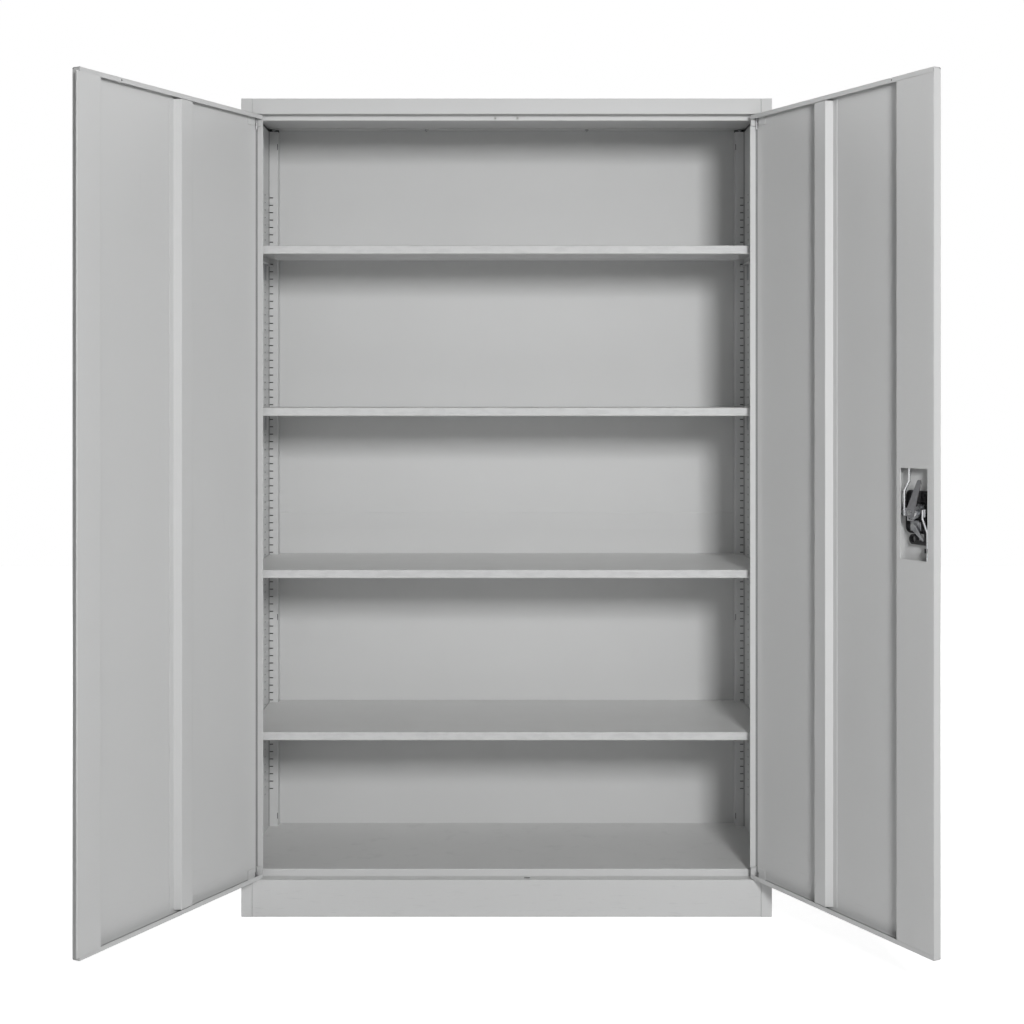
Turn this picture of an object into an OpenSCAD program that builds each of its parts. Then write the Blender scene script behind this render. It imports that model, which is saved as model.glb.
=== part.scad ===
// Steel office cupboard with two hinged doors, four shelves and a three-point lock.
// Millimetres, +Z up. The origin lies on the floor, at the middle of the plinth's front face,
// and +Y runs into the cupboard. The doors stand open, as they do in use.

/* [Case] */
// Overall width
case_w = 1200; // [800:10:1600]
// Overall height
case_h = 1850; // [1790:5:2200]
// Overall depth
case_d = 400; // [350:5:600]
// Thickness of the steel sheet
sheet = 1; // [0.8:0.1:1.4]
// Inside radius of every fold in the sheet
bend_r = 1; // [0.6:0.1:1.5]
// Gap left where two sheets meet
seam = 0.1; // [0.05:0.05:0.3]
// Width of the front posts
post_w = 25; // [22:1:40]
// Depth of the recess that the doors close into
recess = 28; // [27:1:36]
// Width of the stop flange beside the opening
jamb_w = 20; // [14:1:30]
// Width of the flange round the back
rear_flange = 20; // [12:1:30]

/* [Header and base] */
// Height of the header above the doors
header_h = 35; // [30:1:60]
// Height of the stop strip that hangs behind the doors' top edge
strip_h = 10; // [9:1:20]
// Depth of the fold under the stop strip
strip_fold = 12; // [6:1:20]
// Depth of the top's flange at the back
top_rear_lip = 30; // [15:1:40]
// Height of the plinth
plinth_h = 84; // [60:1:120]
// Height of the floor panel's front lip above the plinth
floor_lip_h = 16; // [12:1:30]
// Depth of the floor panel's flange at the back
floor_rear_lip = 15; // [8:1:30]
// Depth of the plinth's foot fold
plinth_foot = 20; // [12:1:40]
// Depth of the plinth's ledge, past the recess
ledge_extra = 12; // [4:1:30]
// Height of the fold behind the plinth's ledge
ledge_fold = 12; // [6:1:30]

/* [Back] */
// Height of the lower back panel's top edge
lower_back_top = 880; // [700:5:1000]
// Overlap of the two back panels
back_overlap = 38; // [20:1:60]
// Depth of the upper back panel's fold under the top
back_top_fold = 30; // [24:1:40]
// Depth of the lower back panel's fold along the floor
back_foot_fold = 20; // [10:1:40]
// Distance of the back's screws from the rear face
screw_back = 20; // [12:1:22]
// Distance of the outer screws from the side
screw_side = 14.5; // [10:0.5:20]
// Distance of the inner screws from the middle
screw_mid = 201; // [100:1:300]
// Diameter of the screws' shanks
screw_d = 4; // [3:0.5:5]

/* [Slotted uprights] */
// Height of the bottom slot
first_slot_z = 194.4; // [180:0.1:260]
// Distance from slot to slot
slot_pitch = 18.5; // [15:0.5:25]
// Height kept free of slots under the top
slot_top_margin = 175.6; // [100:0.1:300]
// Height of a slot
slot_h = 2.5; // [2:0.1:4]
// Length of a slot in a flange
slot_l = 10; // [8:0.5:12]
// Length of a slot in a wing
wing_slot_l = 12; // [8:0.5:16]
// Width of the rear uprights' front flange
upright_flange = 23; // [20:1:30]
// Distance of the rear uprights' flange from the rear face
upright_back = 31; // [26:1:50]
// Length of an upright's wing along the side
wing_l = 78; // [70:1:100]
// Distance of the wing's slots from the upright's flange
wing_slot_in = 56; // [40:1:60]
// Clear space behind the slotted wings
hook_gap = 2; // [1.8:0.1:3]
// Height of the tab slots at the rear uprights' fold
tab_slot_h = 15; // [10:1:20]

/* [Shelves] */
// Slot that stands just above each shelf, counted from the bottom slot
shelf_slots = [72, 52, 32, 12];
// Height of the slot's middle above the shelf
slot_over_shelf = 5.4; // [4.5:0.1:7]
// Depth of the shelf's folded edges
shelf_lip = 19; // [16:1:30]
// Width of the fold under the shelf's edges
shelf_return = 11; // [6:1:20]
// Gap round a shelf
shelf_gap = 1.2; // [0.8:0.1:3]
// Height of the stiffener under a shelf
shelf_rib_h = 14; // [8:1:14]
// Length of a shelf clip's ledge
clip_ledge = 13; // [8:1:16]
// Width of a shelf clip
clip_w = 20; // [16:1:28]

/* [Doors] */
// Thickness of the doors
door_t = 19; // [18:0.5:22]
// Gap between a door and the case
door_gap = 1.5; // [1:0.5:3]
// Gap between the two doors
meeting_gap = 3; // [2:0.5:4]
// Gap above and below the doors
door_gap_z = 2; // [2:0.5:4]
// Width of the flanges along the doors' top and bottom
door_flange = 10; // [8:0.5:12]
// Angle to which the doors stand open
open_angle = 118.5; // [0:0.5:118.5]
// Distance of the pivot from the door's hinge edge
pivot_in = 7; // [6.5:0.5:9]
// Distance of the pivot behind the door's outer face
pivot_back = 5; // [4.6:0.1:5]
// Diameter of the pivot pins
pin_d = 5; // [4:0.5:5]
// Clearance round a pivot pin in its bush, on the radius
pin_gap = 0.08; // [0.03:0.01:0.1]
// Length of the pivot pin outside the door
pin_out = 9; // [6:1:12]
// Length of the pivot bracket along the door
bracket_l = 34; // [30:1:40]
// Height of the pivot bracket
bracket_h = 23; // [19:1:26]
// Thickness of the pivot bracket
bracket_t = 1.5; // [1:0.5:2.5]
// Distance of the hanging hole from the hinge edge
hang_hole_in = 455; // [300:1:460]
// Diameter of the hanging hole
hang_hole_d = 4.5; // [4:0.5:5]

/* [Door stiffening] */
// Width of the stiffener's face
rib_face = 35; // [25:1:50]
// Width of the stiffener between its feet
rib_base = 50; // [40:1:70]
// Height of the stiffener above the skin
rib_h = 16; // [10:1:17]
// Width of each foot
rib_foot = 12; // [8:1:20]
// Width of the left door's closing stile up to the door's edge
left_stile_w = 53; // [45:1:80]
// Reach of the closing lip past the left door's edge
lip_reach = 12; // [8:1:14]
// Thickness of the closing lip
lip_t = 4.5; // [4.2:0.1:5]
// Gap between the closing lip and the right door
lip_gap = 1; // [0.8:0.1:1.5]
// Width of the right door's lock stile
right_stile_w = 103; // [98:1:120]
// Slope of the stiles' walls, measured across
stile_slope = 7; // [4:1:10]

/* [Lock] */
// Height of the handle's spindle above the floor
spindle_z = 948; // [850:1:1050]
// Distance of the spindle from the right door's free edge
spindle_in = 57; // [55:1:58]
// Width of the window over the lock
window_w = 73.5; // [70:0.5:74]
// Height of the window over the lock
window_h = 180; // [170:1:200]
// Distance of the window from the free edge
window_in = 17.5; // [17:0.5:18]
// Distance of the window's middle below the spindle
window_drop = 3; // [0:1:6]
// Radius from the spindle to the cam's pins
crank_r = 16; // [14:0.5:16]
// Angle through which the handle turns
turn = 90; // [80:1:90]
// Diameter of the cam's pins
crank_pin_d = 5; // [4:0.5:5]
// Reach of the latch tongue from the spindle
tongue_l = 65; // [62:0.5:67]
// Width of the latch tongue at its tip
tongue_w = 11; // [8:1:14]
// Angle of the tongue above level while unlocked
tongue_rest = 68; // [66:1:72]
// Diameter of the lock rods
rod_d = 5; // [4.5:0.5:5]
// Distance of the lock rods behind the door's outer face
rod_back = 14.9; // [14.8:0.1:15]
// Distance of the rods' ends inside the door's edge while unlocked
rod_short = 2; // [1:0.5:6]
// Distance of the lock cylinder below the spindle
cylinder_drop = 27.5; // [27.5:0.5:30]
// Diameter of the lock cylinder
cylinder_d = 18; // [16:1:18]
// Length of the handle's grip
grip_l = 96; // [80:1:120]

/* [Hidden] */

paint = [0.80, 0.81, 0.80];
shaded_paint = [0.74, 0.75, 0.75];
zinc = [0.72, 0.73, 0.75];
steel = [0.55, 0.56, 0.58];
black = [0.08, 0.08, 0.09];
nylon = [0.88, 0.87, 0.82];
rubber = [0.35, 0.35, 0.36];

$fn = 48;
bend_steps = 4;
arc_steps = 16;
eps = 0.01;
bend_out = bend_r + sheet;

// The case
half_w = case_w / 2;
post_x = half_w - post_w;
jamb_x = post_x - jamb_w;
header_z = case_h - header_h;
strip_z = header_z - strip_h;
floor_z = plinth_h + floor_lip_h;
skin_x = half_w - sheet;
back_y = case_d - 2 * sheet;
joggle_run = 3 * sheet;
lower_joggle_z = lower_back_top + 5;
upper_back_bottom = lower_back_top - back_overlap;
screw_x = [half_w - screw_side, screw_mid];
screw_hole_r = screw_d / 2 + 0.2;
back_nut_r = 4.6;
back_nut_h = 3.5;
back_screw_end = 6;
rod_hole_gap = 1;
rod_slot_l = 14;

// The uprights
slot_count = floor((case_h - slot_top_margin - first_slot_z) / slot_pitch + eps) + 1;
wing_x = skin_x - hook_gap - sheet;
upright_top = case_h - 10;
flange_y = case_d - upright_back;
flange_x = wing_x - upright_flange;
flange_slot_x = wing_x - 1 - slot_l / 2;
rear_slot_y = flange_y - wing_slot_in;
front_wing_y = recess + 2 * sheet + 2 * seam;
front_slot_y = front_wing_y + wing_slot_in;
wing_foot = 12;
tab_slot_w = 4;
tab_slot_z = [floor_z + 26, 624, header_z - 13];

// The shelves
shelf_x = wing_x - shelf_gap;
shelf_front = front_wing_y + shelf_gap;
shelf_rear = back_y - shelf_gap - sheet;
notch_x = flange_x - shelf_gap;
notch_y = flange_y - shelf_gap;
clip_t = 1.5;
hook_t = 1.2;
hook_h = 7;
shelf_rib_face = 32;
shelf_rib_base = 42;
shelf_rib_end = 40;

// The doors, each in its own frame: across from the hinge edge, back from the outer face, up
door_w = post_x - door_gap - meeting_gap / 2;
door_z = plinth_h + door_gap_z;
door_h = header_z - door_gap_z - door_z;
hinge_x = post_x - door_gap;
pivot_x = hinge_x - pivot_in;
left_stile_in = door_w - left_stile_w;
right_stile_in = door_w - right_stile_w;
left_rib_in = left_stile_in / 2 - 3;
right_rib_in = right_stile_in / 2 + 2;
lip_back = door_t + lip_gap;
stile_end = door_flange + 0.5;
edge_flange = 7;
lip_hold = 16;
corner_l = 14;
bracket_notch = bracket_h + 2;
collar_r = 3.4;
collar_h = 1.5;
top_pin_in = 33;
low_pin_in = 14;
bracket_relief = 4;
bush_r = 3.5;
bush_flange_r = 4.5;
bush_above = 1.5;
buffer_r = 2.3;
buffer_x = 25;
door_clear = 0.3;

// The lock, in the right door's frame
lock_x = door_w - spindle_in;
lock_z = spindle_z - door_z;
housing_w = 63;
housing_top = 43;
housing_bottom = 41.3;
housing_corner = 13;
housing_back = 7.6;
housing_wall = 2.5;
housing_floor = 3;
rim_w = 3;
rim_t = 2.5;
cam_back = housing_back + door_clear;
cam_t = 2;
yoke_back = cam_back + cam_t + door_clear;
yoke_t = 2;
yoke_h = 12;
yoke_plate_h = 15;
yoke_step = 4;
yoke_end = 2;
pin_play = 0.4;
upper_yoke_reach = 44;
lower_yoke_reach = 27;
yoke_slot_gap = 0.75;
neck_w = 4.4;
cam_hub_r = 10;
cam_lobe_r = 5;
pin_proud = 1;
tongue_t = 1.8;
tongue_back = lip_back + lip_t + 0.7;
tongue_hub_r = 11;
spindle_w = 7;
spindle_end = tongue_back + tongue_t;
sleeve_r = 6;
spindle_head_r = 5;
spindle_head_h = 2.6;
cross_l = 5.2;
cross_w = 1;
cross_floor = 1.2;
handle_front = -20;
hub_r = 15;
hub_step = 3;
grip_root_r = 13;
grip_r = 9;
grip_in = 2;
grip_t = 10;
spindle_front = -15;
upper_rod_dx = [-27, -14];
lower_rod_dx = [23, 36, 12];
knuckle = 0.15;
upper_jog_z = [42, 62];
lower_jog_z = [-11, -38, -104, -146];
guide_w = 18;
guide_h = 20;
guide_gap = 0.3;
nut_r = 13;
nut_t = 2.4;
plug_r = 5;
plug_cam_t = 1.4;
plug_cam_back = 17.8;
plug_cam_rest = -42;
plug_cam_hub_r = 6.5;
plug_cam_w = 5;
plug_cam_l = 36;
block_x = [-10.5, 18];
block_top = 9.2;
block_bottom = 8;
rib_count = 8;
groove_w = 1;
collar_w = 2;
key_slot_w = 1.6;
key_slot_h = 7.2;
key_slot_end = 10.8;
cylinder_end = 14.8;
cylinder_front = -4.5;
rod_clip_t = 2;
clip_ring_x = -10;
clip_ring_z = -53;
clip_ring_r = 10;
clip_bar_h = 9;
clip_wall = 3;
clip_loop = [25, -35];
clip_loop_r = 7;
clip_arm_w = 7;
clip_eye_w = 6;
clip_eye_z = [-77, -68];
clip_eye_back = 17.5;
housing_screw_z = [-29, 34];
housing_screw_x = [-21, 18];
housing_screw_r = 3.5;
housing_screw_h = 2;
housing_screw_slot = 1;
spindle_boss_r = 11;
cylinder_boss_wall = 3;
screw_boss_r = 4;

function unit(v) = v / norm(v);
function left_of(v) = [-v[1], v[0]];
function turned(v, a) = [v[0] * cos(a) - v[1] * sin(a), v[0] * sin(a) + v[1] * cos(a)];

// Corner i of a path, moved to the path's left by d
function moved(p, i, d) =
    i == 0 ? p[0] + d * left_of(unit(p[1] - p[0])) :
    i == len(p) - 1 ? p[i] + d * left_of(unit(p[i] - p[i - 1])) :
    let (a = left_of(unit(p[i] - p[i - 1])), b = left_of(unit(p[i + 1] - p[i])))
    p[i] + d * (a + b) / (1 + a * b);

// Points of the arc that rounds corner i: radius rl where the path turns left, rr where it turns right
function arc_at(p, i, rl, rr) =
    let (u = unit(p[i] - p[i - 1]), v = unit(p[i + 1] - p[i]))
    let (cross = u[0] * v[1] - u[1] * v[0], way = cross > 0 ? 1 : -1, r = cross > 0 ? rl : rr)
    let (angle = acos(u * v), start = p[i] - r * tan(angle / 2) * u)
    let (centre = start + way * r * left_of(u))
    [for (k = [0:bend_steps]) centre + turned(-way * r * left_of(u), way * angle * k / bend_steps)];

function rounded(p, rl, rr) = concat([p[0]],
    [for (i = [1:len(p) - 2]) each arc_at(p, i, rl, rr)], [p[len(p) - 1]]);
function backwards(p) = [for (i = [len(p) - 1:-1:0]) p[i]];

// A folded sheet's section: the path is its outer line, and the sheet lies to the path's left
module fold(path, t = sheet) {
    inner = [for (i = [0:len(path) - 1]) moved(path, i, t)];
    polygon(concat(rounded(path, bend_r + t, bend_r), backwards(rounded(inner, bend_r, bend_r + t))));
}

// Runs a section drawn in Y and Z along X
module along_x(x0, x1) {
    translate([x0, 0, 0]) rotate([90, 0, 90]) linear_extrude(x1 - x0) children();
}

// Runs a section drawn in X and Z along Y
module along_y(y0, y1) {
    translate([0, y1, 0]) rotate([90, 0, 0]) linear_extrude(y1 - y0) children();
}

// Runs a section drawn in X and Y along Z
module along_z(z0, z1) {
    translate([0, 0, z0]) linear_extrude(z1 - z0) children();
}

// A cylinder that runs along Y from y0 to y1
module pin_y(r, y0, y1) {
    translate([0, y0, 0]) rotate([-90, 0, 0]) cylinder(r = r, h = y1 - y0);
}

module box(low, high) {
    translate(low) cube(high - low);
}

module both_sides() {
    children();
    mirror([1, 0, 0]) children();
}

// The section of a hat-shaped stiffener that stands on the line y = 0
module hat(face, base, foot, h) {
    fold([[base / 2 + foot, sheet], [base / 2, sheet], [face / 2, h],
        [-face / 2, h], [-base / 2, sheet], [-base / 2 - foot, sheet]]);
}

// A flat bar from the origin along X with round ends, tapering from r1 to r2
module arm(r1, r2, l) {
    a = acos((r1 - r2) / l);
    near = [for (k = [0:arc_steps]) r1 * turned([1, 0], a + (360 - 2 * a) * k / arc_steps)];
    far = [for (k = [0:arc_steps]) [l, 0] + r2 * turned([1, 0], -a + 2 * a * k / arc_steps)];
    polygon(concat(near, far));
}

// A rectangle with round corners, w by h, about the origin
module round_rect(w, h, r) {
    square([w - 2 * r, h], center = true);
    square([w, h - 2 * r], center = true);
    for (x = [-1, 1], y = [-1, 1]) translate([x * (w / 2 - r), y * (h / 2 - r)]) circle(r = r);
}

// The same rectangle grown all round by d, or shrunk where d is negative
module offset_rect(w, h, r, d) {
    round_rect(w + 2 * d, h + 2 * d, r + d);
}

// Outer skin, front post and stop flange of the left side, folded from one sheet
module side_panel() {
    difference() {
        along_z(0, case_h) fold([[-half_w + rear_flange, case_d], [-half_w, case_d], [-half_w, 0],
            [-post_x, 0], [-post_x, recess], [-jamb_x, recess]]);
        box([-skin_x, sheet, case_h - sheet - seam], [0, case_d - sheet, case_h + 1]);
        box([-post_x, -1, strip_z - seam], [0, case_d - sheet, case_h + 1]);
        box([-post_x, -1, -1], [0, case_d - sheet, floor_z + seam]);
    }
}

module left_side_panel() {
    color(paint) side_panel();
}

module right_side_panel() {
    color(paint) mirror([1, 0, 0]) side_panel();
}

// Top with its header, door stop strip and rear flange
module top_panel() {
    x = post_x - seam;
    color(paint) difference() {
        union() {
            along_x(-x, x) fold([[case_d, case_h - top_rear_lip], [case_d, case_h], [0, case_h],
                [0, header_z], [recess, header_z], [recess, strip_z],
                [recess + strip_fold, strip_z]]);
            both_sides() box([-skin_x + seam, sheet + seam, case_h - sheet],
                [-x + 1, case_d - sheet - seam, case_h]);
        }
        both_sides() translate([pivot_x, pivot_back, header_z - 1])
            cylinder(r = bush_r + seam, h = 3 * sheet + 2);
        translate([rod_x(upper_rod_dx[1]), rod_back, header_z - 1])
            cylinder(r = rod_d / 2 + rod_hole_gap, h = 3 * sheet + 2);
        for (x = screw_x) both_sides() translate([x, case_d - screw_back, case_h - sheet - 1])
            cylinder(r = screw_hole_r, h = sheet + 2);
    }
}

// Place across the case, with the door shut, of what stands dx from the spindle
function rod_x(dx) = hinge_x - lock_x - dx;

// Floor of the case with its front lip
module bottom_panel() {
    x = post_x - seam;
    y = back_y - 2 * seam;
    color(paint) union() {
        along_x(-x, x) fold([[y, floor_z - floor_rear_lip], [y, floor_z], [recess, floor_z],
            [recess, plinth_h + seam]]);
        both_sides() box([-skin_x + seam, recess + 2 * sheet, floor_z - sheet],
            [-x + 1, y - sheet, floor_z]);
    }
}

// Front plinth, whose top is the ledge that the doors' lower pins stand in
module plinth() {
    x = post_x - seam;
    y = recess + ledge_extra;
    color(paint) difference() {
        along_x(-x, x) fold([[y, plinth_h - ledge_fold], [y, plinth_h], [0, plinth_h], [0, 0],
            [plinth_foot, 0]]);
        both_sides() translate([pivot_x, pivot_back, plinth_h - 3 * sheet])
            cylinder(r = bush_r + seam, h = 4 * sheet);
        translate([rod_x(lower_rod_dx[2]), rod_back, plinth_h - 3 * sheet])
            along_z(0, 4 * sheet) round_rect(rod_slot_l, rod_d + 2 * rod_hole_gap, rod_d / 2);
    }
}

module upper_back_panel() {
    x = skin_x - bend_r - seam;
    z = case_h - 2 * sheet - seam;
    color(shaded_paint) difference() {
        along_x(-x, x) fold([[back_y - back_top_fold, z], [back_y, z], [back_y, lower_joggle_z],
            [back_y - sheet, lower_joggle_z - joggle_run], [back_y - sheet, upper_back_bottom]]);
        for (x = screw_x) both_sides() translate([x, case_d - screw_back, z - 1])
            cylinder(r = screw_hole_r, h = sheet + 2);
    }
}

module lower_back_panel() {
    x = skin_x - bend_r - seam;
    color(shaded_paint) along_x(-x, x) fold([[back_y, lower_back_top], [back_y, sheet],
        [back_y - back_foot_fold, sheet]]);
}

// Rear corner upright: slotted wing, slotted front flange, and a wall back to the back panel
module rear_upright() {
    y0 = flange_y - wing_l;
    color(paint) difference() {
        along_z(floor_z, upright_top) fold([[-wing_x - hook_gap, y0 - wing_foot - 2],
            [-wing_x - hook_gap, y0 - 2], [-wing_x, y0 + 1], [-wing_x, flange_y],
            [-flange_x, flange_y], [-flange_x, back_y - sheet - seam]]);
        for (i = [0:slot_count - 1]) translate([0, 0, first_slot_z + i * slot_pitch]) {
            box([-wing_x - sheet - 0.5, rear_slot_y - wing_slot_l / 2, -slot_h / 2],
                [-wing_x + 1, rear_slot_y + wing_slot_l / 2, slot_h / 2]);
            box([-flange_slot_x - slot_l / 2, flange_y - 1, -slot_h / 2],
                [-flange_slot_x + slot_l / 2, flange_y + sheet + 1, slot_h / 2]);
        }
        for (z = tab_slot_z) box([-flange_x - tab_slot_w / 2, flange_y - 1, z - tab_slot_h / 2],
            [-flange_x + tab_slot_w / 2, flange_y + tab_slot_w, z + tab_slot_h / 2]);
    }
}

module left_rear_upright() {
    rear_upright();
}

module right_rear_upright() {
    mirror([1, 0, 0]) rear_upright();
}

// Front upright: a flange behind the stop flange and a slotted wing along the side
module front_upright() {
    y1 = front_wing_y + wing_l;
    color(paint) difference() {
        along_z(floor_z, upright_top) fold([[-jamb_x - 2, front_wing_y], [-wing_x, front_wing_y],
            [-wing_x, y1 - 1], [-wing_x - hook_gap, y1 + 2],
            [-wing_x - hook_gap, y1 + 2 + wing_foot]]);
        for (i = [0:slot_count - 1]) translate([0, 0, first_slot_z + i * slot_pitch])
            box([-wing_x - sheet - 0.5, front_slot_y - wing_slot_l / 2, -slot_h / 2],
                [-wing_x + 1, front_slot_y + wing_slot_l / 2, slot_h / 2]);
        box([-half_w, 0, strip_z - seam], [0, recess + strip_fold + 1, case_h]);
    }
}

module left_front_upright() {
    front_upright();
}

module right_front_upright() {
    mirror([1, 0, 0]) front_upright();
}

function shelf_top(n) = first_slot_z + shelf_slots[n] * slot_pitch - slot_over_shelf;

// A shelf: a tray with folded edges, notched round the rear uprights
module shelf(n) {
    color(paint) translate([0, 0, shelf_top(n)]) {
        difference() {
            along_x(-shelf_x + bend_out, shelf_x - bend_out) fold([[shelf_rear, -shelf_lip],
                [shelf_rear, 0], [shelf_front, 0], [shelf_front, -shelf_lip],
                [shelf_front + shelf_return, -shelf_lip]]);
            both_sides() box([-half_w, notch_y, -shelf_lip - 1], [-notch_x, case_d, 1]);
        }
        both_sides() along_y(shelf_front + bend_out, notch_y)
            fold([[-shelf_x + corner_l, 0], [-shelf_x, 0], [-shelf_x, -shelf_lip],
                [-shelf_x + shelf_return, -shelf_lip]]);
    }
}

module shelf_1() {
    shelf(0);
}

module shelf_2() {
    shelf(1);
}

module shelf_3() {
    shelf(2);
}

module shelf_4() {
    shelf(3);
}

// Hat section welded under a shelf, half way back
module shelf_stiffener(n) {
    x = shelf_x - shelf_rib_end;
    color(shaded_paint) translate([0, (shelf_front + shelf_rear) / 2, shelf_top(n) - sheet])
        along_x(-x, x) mirror([0, 1]) hat(shelf_rib_face, shelf_rib_base, rib_foot, shelf_rib_h);
}

module shelf_1_stiffener() {
    shelf_stiffener(0);
}

module shelf_2_stiffener() {
    shelf_stiffener(1);
}

module shelf_3_stiffener() {
    shelf_stiffener(2);
}

module shelf_4_stiffener() {
    shelf_stiffener(3);
}

// A clip: a ledge, a plate against the wing, and two hooks that drop behind the wing
module shelf_clip(n, y) {
    top = shelf_top(n) - shelf_lip;
    low_slot = shelf_top(n) + slot_over_shelf - 3 * slot_pitch;
    x = -wing_x + seam;
    translate([0, y, 0]) {
        along_y(-clip_w / 2, clip_w / 2) fold([[x + clip_ledge, top - seam],
            [x, top - seam], [x, low_slot - hook_h]], clip_t);
        for (z = [low_slot, low_slot + slot_pitch]) {
            box([x - sheet - hook_t - 2 * seam, -wing_slot_l / 2 + 1, z - hook_t / 2],
                [x + clip_t, wing_slot_l / 2 - 1, z + hook_t / 2]);
            box([x - sheet - hook_t - 2 * seam, -wing_slot_l / 2 + 1, z - hook_h],
                [x - sheet - 2 * seam, wing_slot_l / 2 - 1, z + hook_t / 2]);
        }
    }
}

module shelf_clips(n) {
    color(zinc) both_sides() {
        shelf_clip(n, front_slot_y);
        shelf_clip(n, rear_slot_y);
    }
}

module shelf_1_clips() {
    shelf_clips(0);
}

module shelf_2_clips() {
    shelf_clips(1);
}

module shelf_3_clips() {
    shelf_clips(2);
}

module shelf_4_clips() {
    shelf_clips(3);
}

// Screws that hold the upper back panel's fold to the top, each with its nut underneath
module back_screws() {
    z = case_h - 2 * sheet - seam;
    color(steel) for (x = screw_x) both_sides() translate([x, case_d - screw_back, z]) {
        translate([0, 0, -back_nut_h]) cylinder(r = back_nut_r, h = back_nut_h, $fn = 6);
        translate([0, 0, -back_screw_end]) cylinder(r = screw_d / 2, h = case_h - z + back_screw_end);
    }
}

// Rubber buffers on the stop strip, one for each door
module door_buffers() {
    color(rubber) both_sides() translate([buffer_x, 0, header_z - strip_h / 2])
        pin_y(buffer_r, door_t + door_clear, recess);
}

// Flanged bushes for the four pivot pins, in the header's underside and in the ledge
module pivot_bushes() {
    color(nylon) both_sides() translate([pivot_x, pivot_back, 0]) {
        bush(header_z, -1, sheet);
        bush(plinth_h, 1, door_gap_z - door_clear);
    }
}

// A bush whose flange stands out of the sheet's face at height z, up or down
module bush(z, way, flange_t) {
    translate([0, 0, z]) mirror([0, 0, way < 0 ? 1 : 0]) difference() {
        union() {
            cylinder(r = bush_flange_r, h = flange_t);
            translate([0, 0, -sheet - bush_above]) cylinder(r = bush_r, h = sheet + bush_above + eps);
        }
        translate([0, 0, -sheet - bush_above - 1])
            cylinder(r = pin_d / 2 + pin_gap, h = sheet + bush_above + flange_t + 2);
    }
}

// Puts a thing drawn in the left door's own frame where that door stands
module on_left_door() {
    translate([-pivot_x, pivot_back, door_z]) rotate([0, 0, -open_angle])
        translate([-pivot_in, -pivot_back, 0]) children();
}

module on_right_door() {
    mirror([1, 0, 0]) on_left_door() children();
}

// Does the same at a door's top and bottom
module both_ends() {
    children();
    translate([0, 0, door_h]) mirror([0, 0, 1]) children();
}

// A door's tray: the skin with its folded edges. The free edge is free_d deep
module door_tray(free_d) {
    difference() {
        union() {
            along_x(bend_out, door_w - bend_out) fold([[door_t, door_h - door_flange],
                [door_t, door_h], [0, door_h], [0, 0], [door_t, 0], [door_t, door_flange]]);
            along_z(bracket_notch, door_h - bracket_notch)
                fold([[0, door_t], [0, 0], [corner_l, 0]]);
            both_ends() box([bend_r, 0, bend_out], [corner_l, sheet, bracket_notch - sheet]);
            along_z(bend_out, door_h - bend_out)
                fold([[door_w - corner_l, 0], [door_w, 0], [door_w, free_d]]);
        }
        both_ends() translate([pivot_in, pivot_back, -1])
            cylinder(r = pin_d / 2 + seam, h = sheet + 2);
        translate([hang_hole_in, 0, door_h - door_flange / 2])
            pin_y(hang_hole_d / 2, door_t - sheet - 1, door_t + 1);
    }
}

module left_door_skin() {
    color(paint) on_left_door() door_tray(lip_back);
}

// Closing stile: its lip covers the joint between the shut doors
module left_door_stile() {
    face = lip_back + lip_t;
    color(paint) on_left_door() along_z(stile_end, door_h - stile_end)
        fold([[door_w - lip_hold, lip_back], [door_w + lip_reach, lip_back], [door_w + lip_reach, face],
            [left_stile_in, face], [left_stile_in - stile_slope, 2 * sheet],
            [left_stile_in - stile_slope - rib_foot, 2 * sheet]]);
}

// Hat section welded to the skin from top to bottom
module door_stiffener(x) {
    translate([x, sheet, 0]) along_z(stile_end, door_h - stile_end)
        hat(rib_face, rib_base, rib_foot, rib_h);
}

module left_door_stiffener() {
    color(paint) on_left_door() door_stiffener(left_rib_in);
}

module right_door_stiffener() {
    color(paint) on_right_door() door_stiffener(right_rib_in);
}

// Folded corner bracket: a plate on the door's edge flange, a wall along the hinge side, and a plate
// along the skin that stops short of the wall so that the pin stands between them
module pivot_bracket() {
    low = bend_out;
    high = door_t - bend_out;
    color(zinc) difference() {
        union() {
            box([0, low, sheet], [bracket_l, high, sheet + bracket_t]);
            box([0, low, sheet], [bracket_t, high, bracket_h + sheet]);
            box([pivot_in + bracket_relief, low, sheet], [bracket_l, low + bracket_t, bracket_h + sheet]);
        }
        translate([pivot_in, pivot_back, 0])
            cylinder(r = pin_d / 2 + seam, h = sheet + bracket_t + 1);
    }
}

module left_door_pivot_brackets() {
    on_left_door() both_ends() pivot_bracket();
}

module right_door_pivot_brackets() {
    on_right_door() both_ends() pivot_bracket();
}

// Pivot pin with the collar that bears on its bracket, reaching in past the door's edge by l
module pivot_pin(l) {
    color(steel) translate([pivot_in, pivot_back, 0]) {
        translate([0, 0, -pin_out]) cylinder(r = pin_d / 2, h = pin_out + l);
        translate([0, 0, sheet + bracket_t]) cylinder(r = collar_r, h = collar_h);
    }
}

// The top pin is the longer one, which is drawn down to hang the door
module pivot_pins() {
    pivot_pin(low_pin_in);
    translate([0, 0, door_h]) mirror([0, 0, 1]) pivot_pin(top_pin_in);
}

module left_door_pivot_pins() {
    on_left_door() pivot_pins();
}

module right_door_pivot_pins() {
    on_right_door() pivot_pins();
}

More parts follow.
